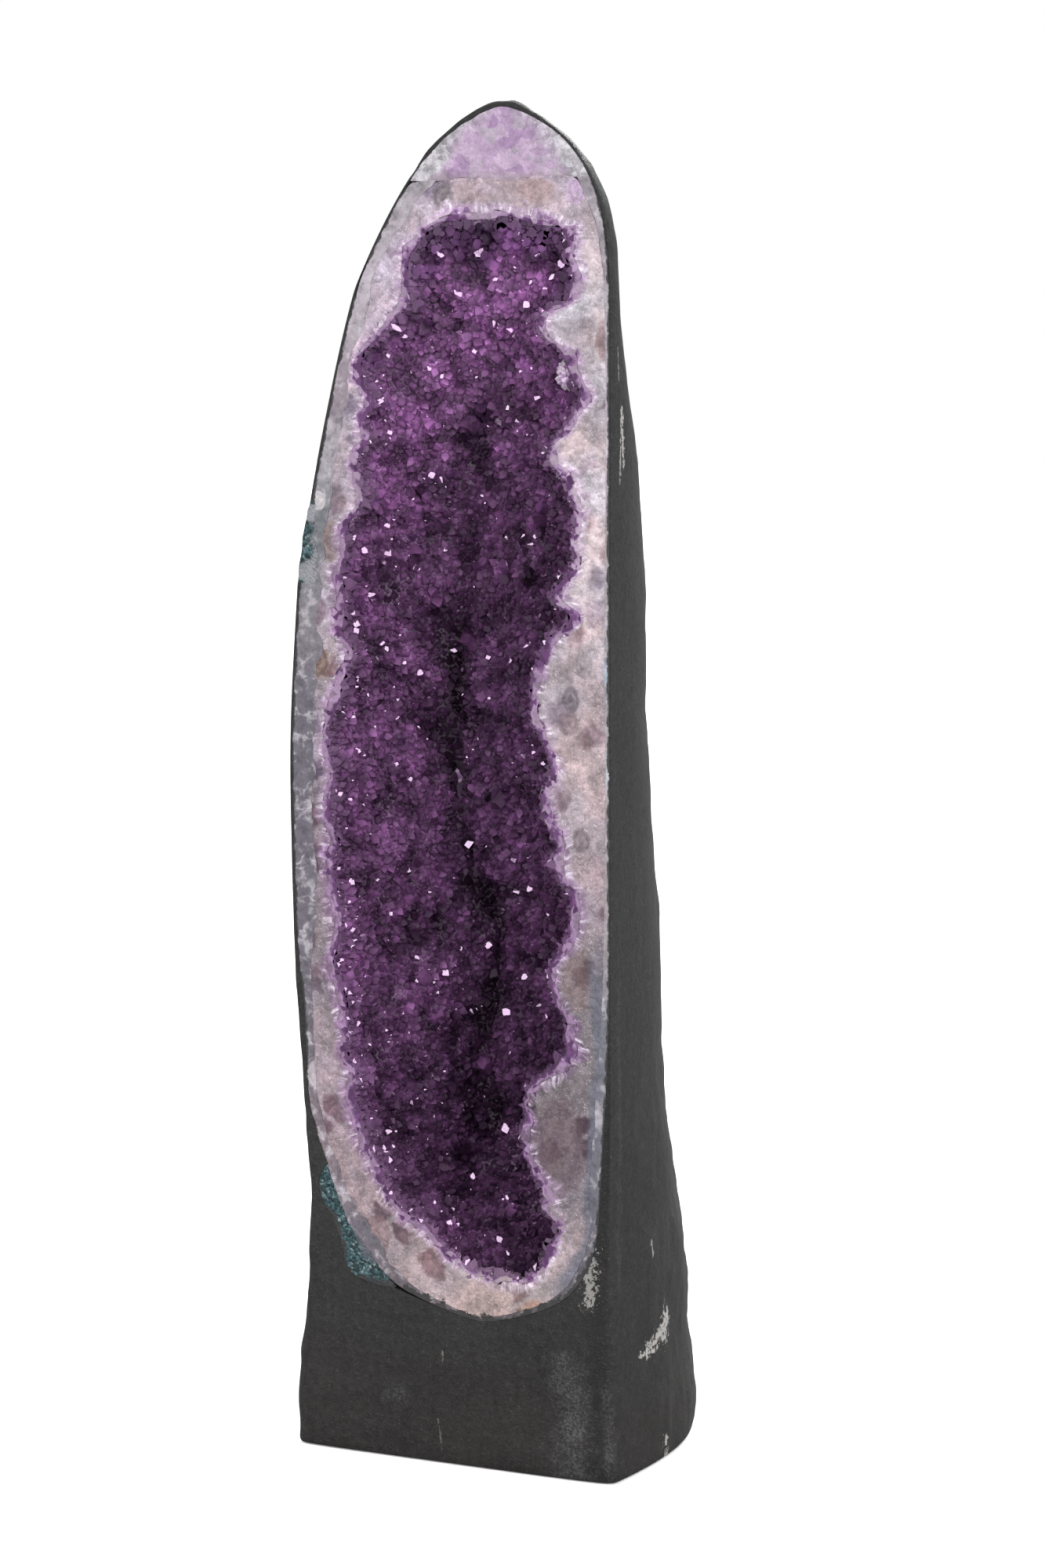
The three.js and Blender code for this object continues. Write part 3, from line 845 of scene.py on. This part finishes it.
def glow(shader, weight, reach=3 * MM):
    """Lets a little light soak into the stone."""
    plug_all(shader, {"Subsurface Weight": weight, "Subsurface Radius": (reach, reach - 0.6 * MM, reach),
                      "Subsurface Scale": 1.0})


def quartz_material(settings, groups):
    material, shader, place = new_material("sugary_quartz")
    loose = nudged(place, 60.0, 16 * MM)
    sugar = use_group(groups["sugar"], {"Vector": place, "Grain": settings.grain})
    wall = sided_ramps(loose, QUARTZ_LEFT, QUARTZ_RIGHT)

    wall = shaded(wall, spread(noise(place, 42.0, 3.0, 0.55), 0.34, 0.66, 0.66, 1.3))
    tinge = spread(noise(place, 27.0), 0.36, 0.64)
    wall = mix(1.0, wall, mix(tinge, (0.94, 0.99, 1.05, 1), (1.03, 0.955, 0.93, 1)), "MULTIPLY")
    pushed = nudged(place, 90.0, 14 * MM)
    off, islands = cells(pushed, 44.0)
    shore, _ = cells(pushed, 44.0, feature="DISTANCE_TO_EDGE")
    pick = picks(islands)
    glassy = spread(off, 0.62, 0.36) * spread(pick[1], 0.62, 0.74) * spread(shore, 0.02, 0.14)
    glass = mix(1.0, wall, mix(pick[0], (0.80, 0.71, 0.70, 1), (0.74, 0.74, 0.80, 1)), "MULTIPLY")
    grainy = mix(sugar["Specks"] * 0.5 + 0.16, wall, (244, 236, 240))
    colour = mix(glassy, grainy, glass)
    colour = add_eyes(place, colour, QUARTZ_EYES, groups["eye"])
    across, _, up = split(loose)
    skin = spread(stored("from_coat"), 15 * MM, 10 * MM, 0.0, 0.8)
    skin = skin * spread(across, 72 * MM, 90 * MM) * spread(up, 380 * MM, 320 * MM)
    colour = mix(skin, colour, (108, 110, 124))

    fringe = sided_ramps(place, FRINGE_LEFT, FRINGE_RIGHT)
    comb = noise(stored("root", "Vector"), 420.0, 3.0, 0.65)
    fringe = mix(spread(comb, 0.46, 0.7), fringe, (236, 222, 238))
    fringe = deepening(place, stored("from_cavity") * -1.0, fringe)
    ragged = noise(place, 150.0, 3.0, 0.6) * (11 * MM) + stored("from_cavity") - 5.5 * MM
    colour = mix(spread(ragged, 7.5 * MM, 1.5 * MM), colour, fringe)
    colour = cement_smear(place, shaded(colour, sugar["Tone"] * 1.8 + 0.06))
    plug_all(shader, {"Base Color": colour, "Roughness": glassy * -0.2 + 0.45})
    glow(shader, 0.12)
    bump(shader, sugar["Height"], 0.6, 0.9 * MM)
    return material


def agate_material(settings, groups):
    material, shader, place = new_material("agate_layers")
    loose = nudged(place, 60.0, 16 * MM)
    sugar = use_group(groups["sugar"], {"Vector": place, "Grain": settings.grain * 0.9})
    colour = sided_ramps(loose, AGATE_LEFT, AGATE_RIGHT)
    depth = stored("from_coat")
    wavy = noise(place, 70.0) * (6 * MM) + depth
    bands = node("TexNoise", {"W": wavy * 460.0, "Detail": 2.0}, noise_dimensions="1D")["Fac"]
    clots = noise(place, 130.0, 3.0, 0.6)
    colour = mix(spread(clots, 0.5, 0.68, 0.0, 0.5), colour, (206, 200, 206))
    colour = mix(spread(clots, 0.46, 0.3, 0.0, 0.45), colour, (70, 72, 78))
    across, _, up = split(loose)
    net, _ = cells(vector("MULTIPLY", loose, (0.45, 1.0, 1.0)), 62.0, feature="DISTANCE_TO_EDGE")
    crack = spread(net, 0.05, 0.012) * spread(clots, 0.4, 0.6)
    crack = crack * spread(across, -60 * MM, -80 * MM) * spread(up, 560 * MM, 520 * MM)
    colour = mix(crack * 0.6, colour, (196, 190, 200))
    colour = add_eyes(place, colour, AGATE_EYES, groups["eye"])
    edge = spread(depth + clots * (1.2 * MM), 1.5 * MM, 0.4 * MM)
    colour = mix(edge * 0.55, colour, (60, 60, 62))
    colour = cement_smear(place, shaded(colour, bands * 0.6 + sugar["Tone"] + 0.28))
    plug_all(shader, {"Base Color": colour, "Roughness": 0.34})
    bump(shader, sugar["Height"], 0.4, 0.7 * MM)
    return material


def lilac_material(settings, groups):
    material, shader, place = new_material("lilac_tip_quartz")
    sugar = use_group(groups["sugar"], {"Vector": place, "Grain": settings.grain * 0.8})
    pick = picks(cells(nudged(place, 120.0, 6 * MM), 120.0)[1])
    colour = mix(pick[0], (176, 146, 184), (206, 182, 208))
    colour = mix(spread(pick[1], 0.7, 0.9, 0.0, 0.6), colour, (184, 178, 186))
    colour = mix(sugar["Specks"] * 0.4, colour, (236, 224, 238))
    _, _, up = split(place)
    colour = mix(spread(up, BREAK_Z + 7 * MM, BREAK_Z - 2 * MM, 0.0, 0.7), colour, (172, 158, 164))
    ragged = noise(place, 90.0, 3.0, 0.6) * (14 * MM) + stored("from_coat")
    crown = spread(up, 894 * MM, 866 * MM, -6 * MM, 6 * MM)
    flank = mix(spread(sugar["Tone"], 0.4, 0.8), (172, 169, 174), (222, 220, 224))
    colour = mix(spread(ragged - crown, 18 * MM, 9 * MM) * 0.85, colour, flank)
    colour = shaded(colour, sugar["Tone"] + 0.42)
    plug_all(shader, {"Base Color": colour, "Roughness": 0.34})
    glow(shader, 0.15)
    bump(shader, sugar["Height"], 0.45, 0.8 * MM)
    return material


def rind_material():
    material, shader, place = new_material("green_rind_crust")
    off, grains = cells(place, 620.0)
    colour = ramp(picks(grains)[0], [(0.0, 24, 38, 40), (0.4, 38, 66, 70), (0.72, 62, 96, 102),
                                     (0.92, 100, 124, 130), (1.0, 150, 164, 166)])
    patchy = noise(place, 60.0, 3.0, 0.6)
    ragged = patchy * (14 * MM) + stored("from_coat")
    _, _, up = split(place)
    upper = spread(up, 300 * MM, 500 * MM)
    ends = spread(up, 594 * MM, 604 * MM) * spread(up, 636 * MM, 626 * MM)
    reach = upper * (ends * (6 * MM) - 6 * MM) + spread(up, 300 * MM, 500 * MM, 19 * MM, 16.5 * MM)
    upper_grey = mix(spread(patchy, 0.4, 0.6), (128, 130, 138), (164, 164, 170))
    stone = mix(upper, (104, 106, 116), upper_grey)
    colour = mix(spread(ragged - reach, 0.0, 3 * MM, 0.0, 0.9), colour, stone)
    plug_all(shader, {"Base Color": cement_smear(place, colour), "Roughness": 0.6})
    bump(shader, 1.0 - off, 0.7, 1.0 * MM)
    return material


def sawn_piece(node_name, name, settings, coat_surface, bed_surface, neighbours):
    """One piece of the sawn rock, with a finely cut face, and its distances kept for the materials."""
    piece = merged_copy(node_name, name)
    round_over(piece, 2)
    refine_face(piece, settings.fineness)
    points = coordinates(piece)
    root, from_cavity = nearest(bed_surface, points)
    _, from_coat = nearest(coat_surface, points)
    store(piece, "from_cavity", from_cavity)
    store(piece, "from_coat", from_coat)
    store(piece, "root", root)
    for neighbour in neighbours:
        points = meet(points, tree_of(neighbour))
    points = wander(points, coat_surface)
    sawn = np.abs(points[:, 1] - FACE_Y) < 0.2 * MM
    relief = layered_noise(points, 7 * MM, 41, 3) * settings.relief
    points[:, 1] += np.where(sawn, relief, 0)
    place_coordinates(piece, points)
    return piece


class GEODE_OT_rock_rim(bpy.types.Operator):
    """Makes the sawn rock: the agate band, the quartz band, the lilac tip and the bare green rind"""
    bl_idname = "geode.rock_rim"
    bl_label = "Rock rim"

    def execute(self, context):
        settings = context.scene.geode_rim
        coat = tree_of("cement_coat_and_foot")
        bed = tree_of("amethyst_bed")
        groups = {"sugar": make_sugar_group(), "eye": make_eye_group()}
        quartz = quartz_material(settings, groups)
        agate = agate_material(settings, groups)
        lilac = lilac_material(settings, groups)
        rind = rind_material()
        for node_name, name, material, slot, neighbours in (
                ("agate_band", "agate_wall", agate, "banded_agate", ["cement_coat_and_foot"]),
                ("quartz_band", "quartz_wall", quartz, "pale_quartz", ["agate_band", "cement_coat_and_foot"]),
                ("lilac_quartz_tip", "lilac_tip", lilac, "lilac_quartz",
                 ["quartz_band", "agate_band", "cement_coat_and_foot"]),
                ("green_rind_upper", "rind_patch_upper", rind, "green_rind",
                 ["agate_band", "cement_coat_and_foot"]),
                ("green_rind_lower", "rind_patch_lower", rind, "green_rind",
                 ["agate_band", "cement_coat_and_foot"])):
            piece = sawn_piece(node_name, name, settings, coat, bed, neighbours)
            shade_smooth(piece)
            hand_over(piece, material, slot, node_name)
        return {"FINISHED"}


# ---------------------------------------------------------------- crystals

def crystal_shapes(count, seed):
    """Six-sided crystals of radius 1 whose points are cut by three large and three small faces."""
    chance = np.random.default_rng(seed)
    steep = math.radians(51.8)                # the lean of quartz's end faces
    shapes = []
    for _ in range(count):
        bpy.ops.object.select_all(action="DESELECT")
        bpy.ops.mesh.primitive_cylinder_add(vertices=6, radius=1, depth=4, location=(0, 0, 0))
        crystal = bpy.context.object
        bpy.ops.object.mode_set(mode="EDIT")
        for side in range(6):
            turn = math.radians(30 + 60 * side)
            small = side % 2
            height = 1.45 + (chance.uniform(0.1, 0.55) if small else chance.uniform(-0.12, 0.12))
            bpy.ops.mesh.select_all(action="SELECT")
            bpy.ops.mesh.bisect(
                plane_co=(0, 0, height),
                plane_no=(math.sin(steep) * math.cos(turn), math.sin(steep) * math.sin(turn), math.cos(steep)),
                use_fill=True, clear_outer=True)
        bpy.ops.object.mode_set(mode="OBJECT")
        mesh = crystal.data
        points = coordinates(crystal)
        points[:, 2] = np.maximum(points[:, 2], -1.0)
        points[:, :2] *= 1 + 0.16 * chance.uniform(-1, 1, 2)
        faces = [list(polygon.vertices) for polygon in mesh.polygons]
        shapes.append((points, faces))
        bpy.data.objects.remove(crystal)
        bpy.data.meshes.remove(mesh)
    return shapes


def turn_towards(direction, twist):
    """The 3 by 3 rotation that stands +Z along a direction."""
    return np.array((Vector(direction).to_track_quat("Z", "Y").to_matrix() @ Matrix.Rotation(twist, 3, "Z")))


def crystal_mesh(name, shapes, growths):
    """One mesh of many crystals. A growth is (place, direction, twist, radius, stretch, shape, tone, pale)."""
    points, faces, zoning_and_root_shade, tone, pale = [], [], [], [], []
    first = 0
    for place, direction, twist, radius, stretch, shape, colour_tone, paleness in growths:
        local, sides = shapes[shape]
        scaled = local * np.array((radius, radius, radius * stretch))
        turned = scaled @ turn_towards(direction, twist).T + np.asarray(place)
        turned[:, 1] = np.maximum(turned[:, 1], FACE_Y + 0.15 * MM)
        points.append(turned)
        faces.extend([[index + first for index in side] for side in sides])
        zoning_and_root_shade.append((local[:, 2] + 1) / 2.6)
        tone.append(np.full(len(local), colour_tone))
        pale.append(np.full(len(local), paleness))
        first += len(local)
    mesh = bpy.data.meshes.new(name)
    mesh.from_pydata(np.concatenate(points).tolist(), [], faces)
    mesh.update()
    obj = bpy.data.objects.new(name, mesh)
    bpy.context.scene.collection.objects.link(obj)
    for label, values in (("zoning_and_root_shade", zoning_and_root_shade), ("tone", tone), ("pale", pale)):
        store(obj, label, np.concatenate(values))
    return obj


def purple_clouds_and_ball_shade(place):
    """Lighter and darker drifts through the amethyst: random tone, and painted light and shade that make each ball of
    crowded crystals lighter in its middle and darker at its edge.
    """
    ball, _ = cells(nudged(place, 90.0, 8 * MM), 75.0)
    veil = noise(place, 420.0, 3.0, 0.65)
    total = spread(noise(place, 30.0), 0.3, 0.7) * 0.5 + spread(ball, 0.15, 0.75, 1.0, 0.0) * 0.42
    return spread(veil, 0.3, 0.7) * 0.22 + total


# Round patches whose crystals are made lighter or darker than the rest: right of the rock's middle line, above the
# floor, radius, how many times as bright.
LIGHT_AND_DARK = [
    (44, 817, 15, 2.0),
    (72, 818, 16, 1.4),
    (8, 790, 17, 0.6),
    (20, 800, 12, 0.65),
    (-66, 470, 22, 1.25),
    (-40, 410, 24, 1.2),
    (40, 620, 22, 1.15),
]


def amethyst_colour_and_painted_light(settings, place):
    """Tip colour and tone at each place. The tone is painted light and shade: light at the top and on the left wall,
    dark in the fold and low down; the listed patches are made lighter or darker.
    """
    across, _, up = split(place)
    # Painted light and shade: lighter towards the top of the cavity and towards its left wall, darker low down.
    tone = spread(up, 560 * MM, 800 * MM, 0.95, 1.7) * spread(up, 210 * MM, 330 * MM, 0.62, 1.0)
    tone = tone * spread(across, 10 * MM, -80 * MM, 1.0, 1.12) * (purple_clouds_and_ball_shade(place) * 1.35 + 0.2)
    for x, z, radius, gain in LIGHT_AND_DARK:
        away = vector("SUBTRACT", place, on_face(x, z))
        flat = vector("MULTIPLY", away, (1.0, 0.0, 1.0))
        near = spread(vector("LENGTH", flat, output="Value"), radius * MM, 0.25 * radius * MM)
        tone = tone * (near * (gain - 1) + 1.0)
    warm = mix(spread(noise(place, 45.0), 0.35, 0.65), settings.tip, (143, 94, 146))
    return warm, tone * stored("tone")


def amethyst_material(settings):
    material, shader, place = new_material("amethyst_crystal")
    # The tone brings painted light and shade into the crystals' colour.
    tip, tone = amethyst_colour_and_painted_light(settings, place)
    zoning_and_root_shade = stored("zoning_and_root_shade")
    # Partly colour zoning and partly painted shade: each crystal turns to the darker root colour towards its foot, deep
    # between the crystals.
    colour = shaded(mix(spread(zoning_and_root_shade, 0.2, 0.9), settings.root, tip), tone)
    fringe = mix(0.55, sided_ramps(place, FRINGE_LEFT, FRINGE_RIGHT), (158, 110, 168))
    colour = mix(stored("pale") * spread(zoning_and_root_shade, 1.5, 0.5), colour, fringe)
    plug_all(shader, {"Base Color": colour, "Roughness": 0.045, "IOR": 1.55, "Specular IOR Level": 0.9,
                      "Specular Tint": (0.9, 0.66, 0.92, 1), "Transmission Weight": 0.42})
    return material


def bed_material(settings):
    """The floor of the druse: pale where it meets the quartz, purple and sugary further in."""
    material, shader, place = new_material("amethyst_roots")
    # The tone brings the same painted light and shade into the bed.
    tip, tone = amethyst_colour_and_painted_light(settings, place)
    veil = noise(place, 500.0, 3.0, 0.7)
    colour = shaded(mix(spread(veil, 0.3, 0.7), settings.root, tip), tone)
    speckled = shaded(sided_ramps(place, FRINGE_LEFT, FRINGE_RIGHT), veil * 0.9 + 0.5)
    lip = stored("lip")
    colour = mix(spread(lip, 8 * MM, 12 * MM), deepening(place, lip, speckled), colour)
    plug_all(shader, {"Base Color": colour, "Roughness": 0.3})
    bump(shader, veil, 0.6, 0.8 * MM)
    return material


def point_places():
    """Where each large crystal stands: its middle at the root, its direction, radius and length."""
    places = []
    for name in POINTS:
        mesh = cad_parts[name].data
        points = np.unique(np.round([v.co for v in mesh.vertices], 6), axis=0)
        middle = points.mean(0)
        tip = points[np.argmax(np.linalg.norm(points - middle, axis=1))]
        axis = (tip - middle) / np.linalg.norm(tip - middle)
        along = (points - middle) @ axis
        root = middle + axis * along.min()
        radius = np.max(np.linalg.norm(points - middle - np.outer(along, axis), axis=1))
        places.append((name, root, axis, radius, along.max() - along.min()))
    return places


def scatter(surface, count, chance):
    """Even random places on a mesh's chosen triangles, with their normals."""
    corners, normals, areas = surface
    chosen = chance.choice(len(areas), count, p=areas / areas.sum())
    first, second = chance.random((2, count))
    flip = first + second > 1
    first[flip], second[flip] = 1 - first[flip], 1 - second[flip]
    a, b, c = corners[chosen, 0], corners[chosen, 1], corners[chosen, 2]
    return a + (b - a) * first[:, None] + (c - a) * second[:, None], normals[chosen]


class Crowd:
    """Keeps grown crystals apart. Each crystal is noted in every grid cell that its reach touches."""

    def __init__(self, cell):
        self.cell = cell
        self.grid = {}

    def takes(self, place, radius, overlap, reach):
        """Notes a crystal if there is room for it, and says whether there was."""
        key = tuple(int(c // self.cell) for c in place)
        if any(math.dist(other, place) < (size + radius) * overlap for other, size in self.grid.get(key, ())):
            return False
        self.add(place, radius, reach)
        return True

    def add(self, place, radius, reach):
        spans = [range(int((c - reach) // self.cell), int((c + reach) // self.cell) + 1) for c in place]
        for x in spans[0]:
            for y in spans[1]:
                for z in spans[2]:
                    self.grid.setdefault((x, y, z), []).append((place, radius))


LEAN = 0.3                                    # how far a small crystal leans from straight out of its wall
TRIES, MORE_TRIES = 26000, 24000              # places tried in the first round, and how many more in each later one
OVERLAP, LESS_OVERLAP = 0.74, 0.03            # how close crystals stand, and how much closer in each later round
LOWEST_TONE, HIGHEST_TONE = 0.58, 1.5
DEEPEST_FOLD_SHADE = 0.82                           # painted shade: how much of their tone crystals lose in the fold
LUMP_SHADE_STEP = 6 * MM                            # painted shade: crystals on lower swellings are darker; swellings this high have crystals of their full tone


class GEODE_OT_crystals(bpy.types.Operator):
    """Grows the crystal bed, its drusy crystals and the large single crystals"""
    bl_idname = "geode.crystals"
    bl_label = "Amethyst crystals"

    def execute(self, context):
        settings = context.scene.geode_crystals
        chance = np.random.default_rng(settings.seed)
        material = amethyst_material(settings)
        coat = tree_of("cement_coat_and_foot")
        bed = merged_copy("amethyst_bed", "amethyst_bed_lining")
        round_over(bed, 2)
        refine_face(bed, 3 * MM)
        points = coordinates(bed)
        _, off_quartz = nearest(tree_of("quartz_band"), points)
        points = wander(meet(points, tree_of("quartz_band"), 1.0 * MM), coat)
        inside = smooth_step(off_quartz, 2 * MM, 5 * MM)
        inside *= smooth_step(points[:, 1], FACE_Y + 0.5 * MM, FACE_Y + 8 * MM)
        place_coordinates(bed, points)
        normals = coordinates(bed, "normal")
        heights = self.lump_heights(points, inside, chance) * inside
        fold = fold_share(points)
        sink = np.minimum((3 + 7 * fold) * MM * inside, np.maximum(off_quartz - 1.5 * MM, 0))
        points = points + normals * (heights * (1 - fold) - sink)[:, None]
        points[:, 1] = np.maximum(points[:, 1], FACE_Y)
        place_coordinates(bed, points)
        store(bed, "lip", off_quartz + np.maximum(points[:, 1] - FACE_Y, 0))
        # Painted shade: the bed is darker low between the lumps and in the fold.
        store(bed, "tone", (0.5 + 0.5 * smooth_step(heights, 0, LUMP_SHADE_STEP)) * (1 - 0.8 * fold))

        places = point_places()
        shapes = crystal_shapes(DRUSE_SHAPES, settings.seed)
        growths = self.grow(bed, inside, heights, off_quartz, fold, places, settings, chance)
        growths += self.grow_teeth(bed, off_quartz, chance)
        shade_smooth(bed)
        hand_over(bed, bed_material(settings), "amethyst", "amethyst_bed")
        low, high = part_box("amethyst_bed")[0].z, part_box("amethyst_bed")[1].z
        for band in range(DRUSE_BANDS):
            own = [g for g in growths
                   if band == min(DRUSE_BANDS - 1, max(0, int((g[0][2] - low) / (high - low) * DRUSE_BANDS)))]
            druse = crystal_mesh(f"drusy_crystals_{band + 1}", shapes, own)
            hand_over(druse, material, "amethyst")
        for number, (name, root, axis, radius, length) in enumerate(places):
            growth = (root + axis * radius * 0.5, axis, number * 0.9, radius * 1.05,
                      length / radius / 2.6, number % len(shapes), 1.15 + 0.25 * math.sin(number * 2.2), 0.0)
            crystal = crystal_mesh(name.replace("amethyst_point", "large_crystal"), shapes, [growth])
            hand_over(crystal, material, "amethyst", name)
        return {"FINISHED"}

    def grow_teeth(self, bed, off_quartz, chance):
        """Small crystals cut through by the saw, which comb inwards all round the mouth of the cavity."""
        points = coordinates(bed)
        edge = (points[:, 1] < FACE_Y + 0.05 * MM) & (off_quartz > 1.2 * MM)
        starts = points[edge]
        near, _ = nearest(tree_of("quartz_band"), starts)
        growths = []
        crowd = Crowd(3 * MM)
        for index in chance.permutation(len(starts)):
            radius = chance.uniform(1.2, 2.6) * MM * (1.6 if chance.random() < 0.25 else 1)
            place = tuple(starts[index])
            if not crowd.takes(place, radius, 0.5, 5 * MM):
                continue
            inwards = starts[index] - near[index]
            inwards[1] = 0
            inwards = inwards / max(np.linalg.norm(inwards), 1e-6)
            direction = inwards + chance.normal(size=3) * LEAN + np.array((0, chance.uniform(0.1, 0.9), 0))
            direction /= np.linalg.norm(direction)
            growths.append((starts[index] + np.array((0, radius * chance.uniform(0.3, 1.3), 0)), direction,
                            chance.uniform(0, math.tau), radius, chance.uniform(1.0, 2.1),
                            int(chance.integers(0, DRUSE_SHAPES)), chance.uniform(0.8, 1.3),
                            float(np.clip(1.6 - off_quartz[edge][index] / (4.5 * MM), 0.2, 1.4))))
        return growths

    def lump_heights(self, points, inside, chance):
        """Rounded swellings where crystals crowd into balls."""
        wall = points[inside > 0.5]
        centres = []
        crowd = Crowd(12 * MM)
        for index in chance.permutation(len(wall)):
            size = chance.uniform(7, 13) * MM
            place = tuple(wall[index])
            if crowd.takes(place, size, 0.8, 26 * MM):
                centres.append((place, size))
        tree = point_tree([centre for centre, _ in centres])
        heights = np.zeros(len(points))
        for index in np.nonzero(inside > 0)[0]:
            for _, number, distance in tree.find_n(points[index], 3):
                reach = centres[number][1] * 1.35
                if distance < reach:
                    dome = math.sqrt(1 - (distance / reach) ** 2)
                    heights[index] = max(heights[index], 0.55 * centres[number][1] * dome)
        return heights

    def grow(self, bed, inside, heights, off_quartz, fold, places, settings, chance):
        bed.data.calc_loop_triangles()
        triangles = np.array([t.vertices for t in bed.data.loop_triangles])
        points = coordinates(bed)
        keep = inside[triangles].mean(1) > 0.12
        corners = points[triangles[keep]]
        cross = np.cross(corners[:, 1] - corners[:, 0], corners[:, 2] - corners[:, 0])
        areas = np.linalg.norm(cross, axis=1) / 2
        surface = (corners, cross / np.maximum(areas * 2, 1e-12)[:, None], areas)
        swell = point_tree(points)
        crowd = Crowd(4 * MM)
        for _, root, axis, radius, _ in places:
            crowd.add(tuple(root + axis * radius), radius, radius + settings.large)
        for name in KNOBS:
            corner, far_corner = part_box(name)
            reach = (far_corner.x - corner.x) / 2
            crowd.add(tuple((corner + far_corner) / 2), reach, reach + settings.large)
        growths = []
        span = math.log(settings.large / settings.small)
        rounds = 4
        for turn in range(rounds):
            high = settings.large * math.exp(-span * turn / rounds)
            low = settings.large * math.exp(-span * (turn + 1) / rounds)
            tries = TRIES + MORE_TRIES * turn
            overlap = OVERLAP - LESS_OVERLAP * turn
            spots, normals = scatter(surface, tries, chance)
            radii = chance.uniform(low, high, tries)
            leans = chance.normal(size=(tries, 3)) * LEAN
            twists = chance.uniform(0, math.tau, tries)
            stretches = chance.uniform(0.75, 1.4, tries)
            kinds = chance.integers(0, DRUSE_SHAPES, tries)
            tones = chance.uniform(LOWEST_TONE, HIGHEST_TONE, tries)
            for index in range(tries):
                place, radius = tuple(spots[index]), radii[index]
                if not crowd.takes(place, radius, overlap, (radius + high) * overlap):
                    continue
                direction = normals[index] + leans[index]
                if place[1] - FACE_Y < 9 * MM:
                    direction[1] = abs(direction[1]) + 0.12
                direction = direction / np.linalg.norm(direction)
                # Painted shade: crystals low between the lumps and in the fold are made darker.
                _, closest, _ = swell.find(place)
                tone = tones[index] * (0.5 + 0.9 * min(1, heights[closest] / LUMP_SHADE_STEP))
                tone *= 1 - DEEPEST_FOLD_SHADE * fold[closest]
                lip = (place[1] - FACE_Y) + (off_quartz[closest] - 4 * MM)
                far = 1.0
                if place[0] < -20 * MM:
                    far = 3.0 if place[2] < 270 * MM else 2.0
                pale = 0.9 * max(0, 1 - lip / (chance.uniform(4, 12) * far * MM))
                growths.append((spots[index] - direction * radius * 0.55, direction, twists[index], radius,
                                stretches[index], kinds[index], tone, min(pale, 1)))
        return growths


def knob_material():
    """Milky quartz with a breath of lilac, whiter at the points."""
    material, shader, place = new_material("milky_lilac_quartz")
    milky = spread(noise(place, 120.0), 0.4, 0.6)
    root = mix(milky, (190, 150, 200), (206, 180, 200))
    tip = mix(milky, (238, 212, 244), (240, 226, 238))
    # Partly colour zoning and partly painted shade: darker lilac at the roots, whiter at the points.
    colour = mix(spread(stored("zoning_and_root_shade"), 0.35, 0.95), root, tip)
    plug_all(shader, {"Base Color": colour, "Roughness": 0.28, "IOR": 1.55, "Subsurface Weight": 0.3,
                      "Subsurface Radius": (4 * MM, 3 * MM, 4 * MM), "Subsurface Scale": 1.0})
    return material


class GEODE_OT_quartz_knobs(bpy.types.Operator):
    """Grows the two pale crystal knobs on the right wall of the cavity"""
    bl_idname = "geode.quartz_knobs"
    bl_label = "Quartz knobs"

    def execute(self, context):
        settings = context.scene.geode_crystals
        chance = np.random.default_rng(settings.seed + 1)
        shapes = crystal_shapes(KNOB_SHAPES, settings.seed + 1)
        tries = 2600
        material = knob_material()
        for name in KNOBS:
            corners = np.array([v.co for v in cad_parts[name].data.vertices])
            middle = (corners.min(0) + corners.max(0)) / 2
            half = (corners.max(0) - corners.min(0)) / 2
            crowd = Crowd(3 * MM)
            growths = []
            for _ in range(tries):
                out = chance.normal(size=3)
                out /= np.linalg.norm(out)
                radius = chance.uniform(1.4, 3.4) * MM
                place = middle + out * (half - radius * 0.35)
                if not crowd.takes(tuple(place), radius, 0.55, 5 * MM):
                    continue
                direction = out + chance.normal(size=3) * 0.25
                direction /= np.linalg.norm(direction)
                growths.append((place - direction * radius * 0.6, direction, chance.uniform(0, math.tau), radius,
                                chance.uniform(0.8, 1.2), int(chance.integers(0, KNOB_SHAPES)),
                                chance.uniform(0.9, 1.3), 3.0))
            knob = crystal_mesh(name.replace("quartz_knob", "crystal_knob"), shapes, growths)
            hand_over(knob, material, "pale_quartz", name)
        return {"FINISHED"}


# ---------------------------------------------------------------- the panel and the run

class GEODE_PT_panel(bpy.types.Panel):
    """Lists the steps that build the geode"""
    bl_label = "Amethyst Geode"
    bl_idname = "GEODE_PT_panel"
    bl_space_type = "VIEW_3D"
    bl_region_type = "UI"
    bl_category = "Geode"

    def draw(self, context):
        for step in STEPS:
            self.layout.operator(step.bl_idname)


STEPS = (GEODE_OT_stage, GEODE_OT_cement_coat, GEODE_OT_rock_rim, GEODE_OT_crystals, GEODE_OT_quartz_knobs)
SETTINGS = {
    "geode_cement": GeodeCementSettings,
    "geode_rim": GeodeRimSettings,
    "geode_crystals": GeodeCrystalSettings,
    "geode_stage": GeodeStageSettings,
}


def register():
    for name, settings in SETTINGS.items():
        bpy.utils.register_class(settings)
        setattr(bpy.types.Scene, name, bpy.props.PointerProperty(type=settings))
    for step in STEPS:
        bpy.utils.register_class(step)
    bpy.utils.register_class(GEODE_PT_panel)


def unregister():
    bpy.utils.unregister_class(GEODE_PT_panel)
    for step in reversed(STEPS):
        bpy.utils.unregister_class(step)
    for name, settings in SETTINGS.items():
        delattr(bpy.types.Scene, name)
        bpy.utils.unregister_class(settings)


def main():
    register()
    bpy.ops.geode.stage()
    bpy.ops.geode.cement_coat()
    bpy.ops.geode.rock_rim()
    bpy.ops.geode.crystals()
    bpy.ops.geode.quartz_knobs()


if __name__ == "__main__":
    main()
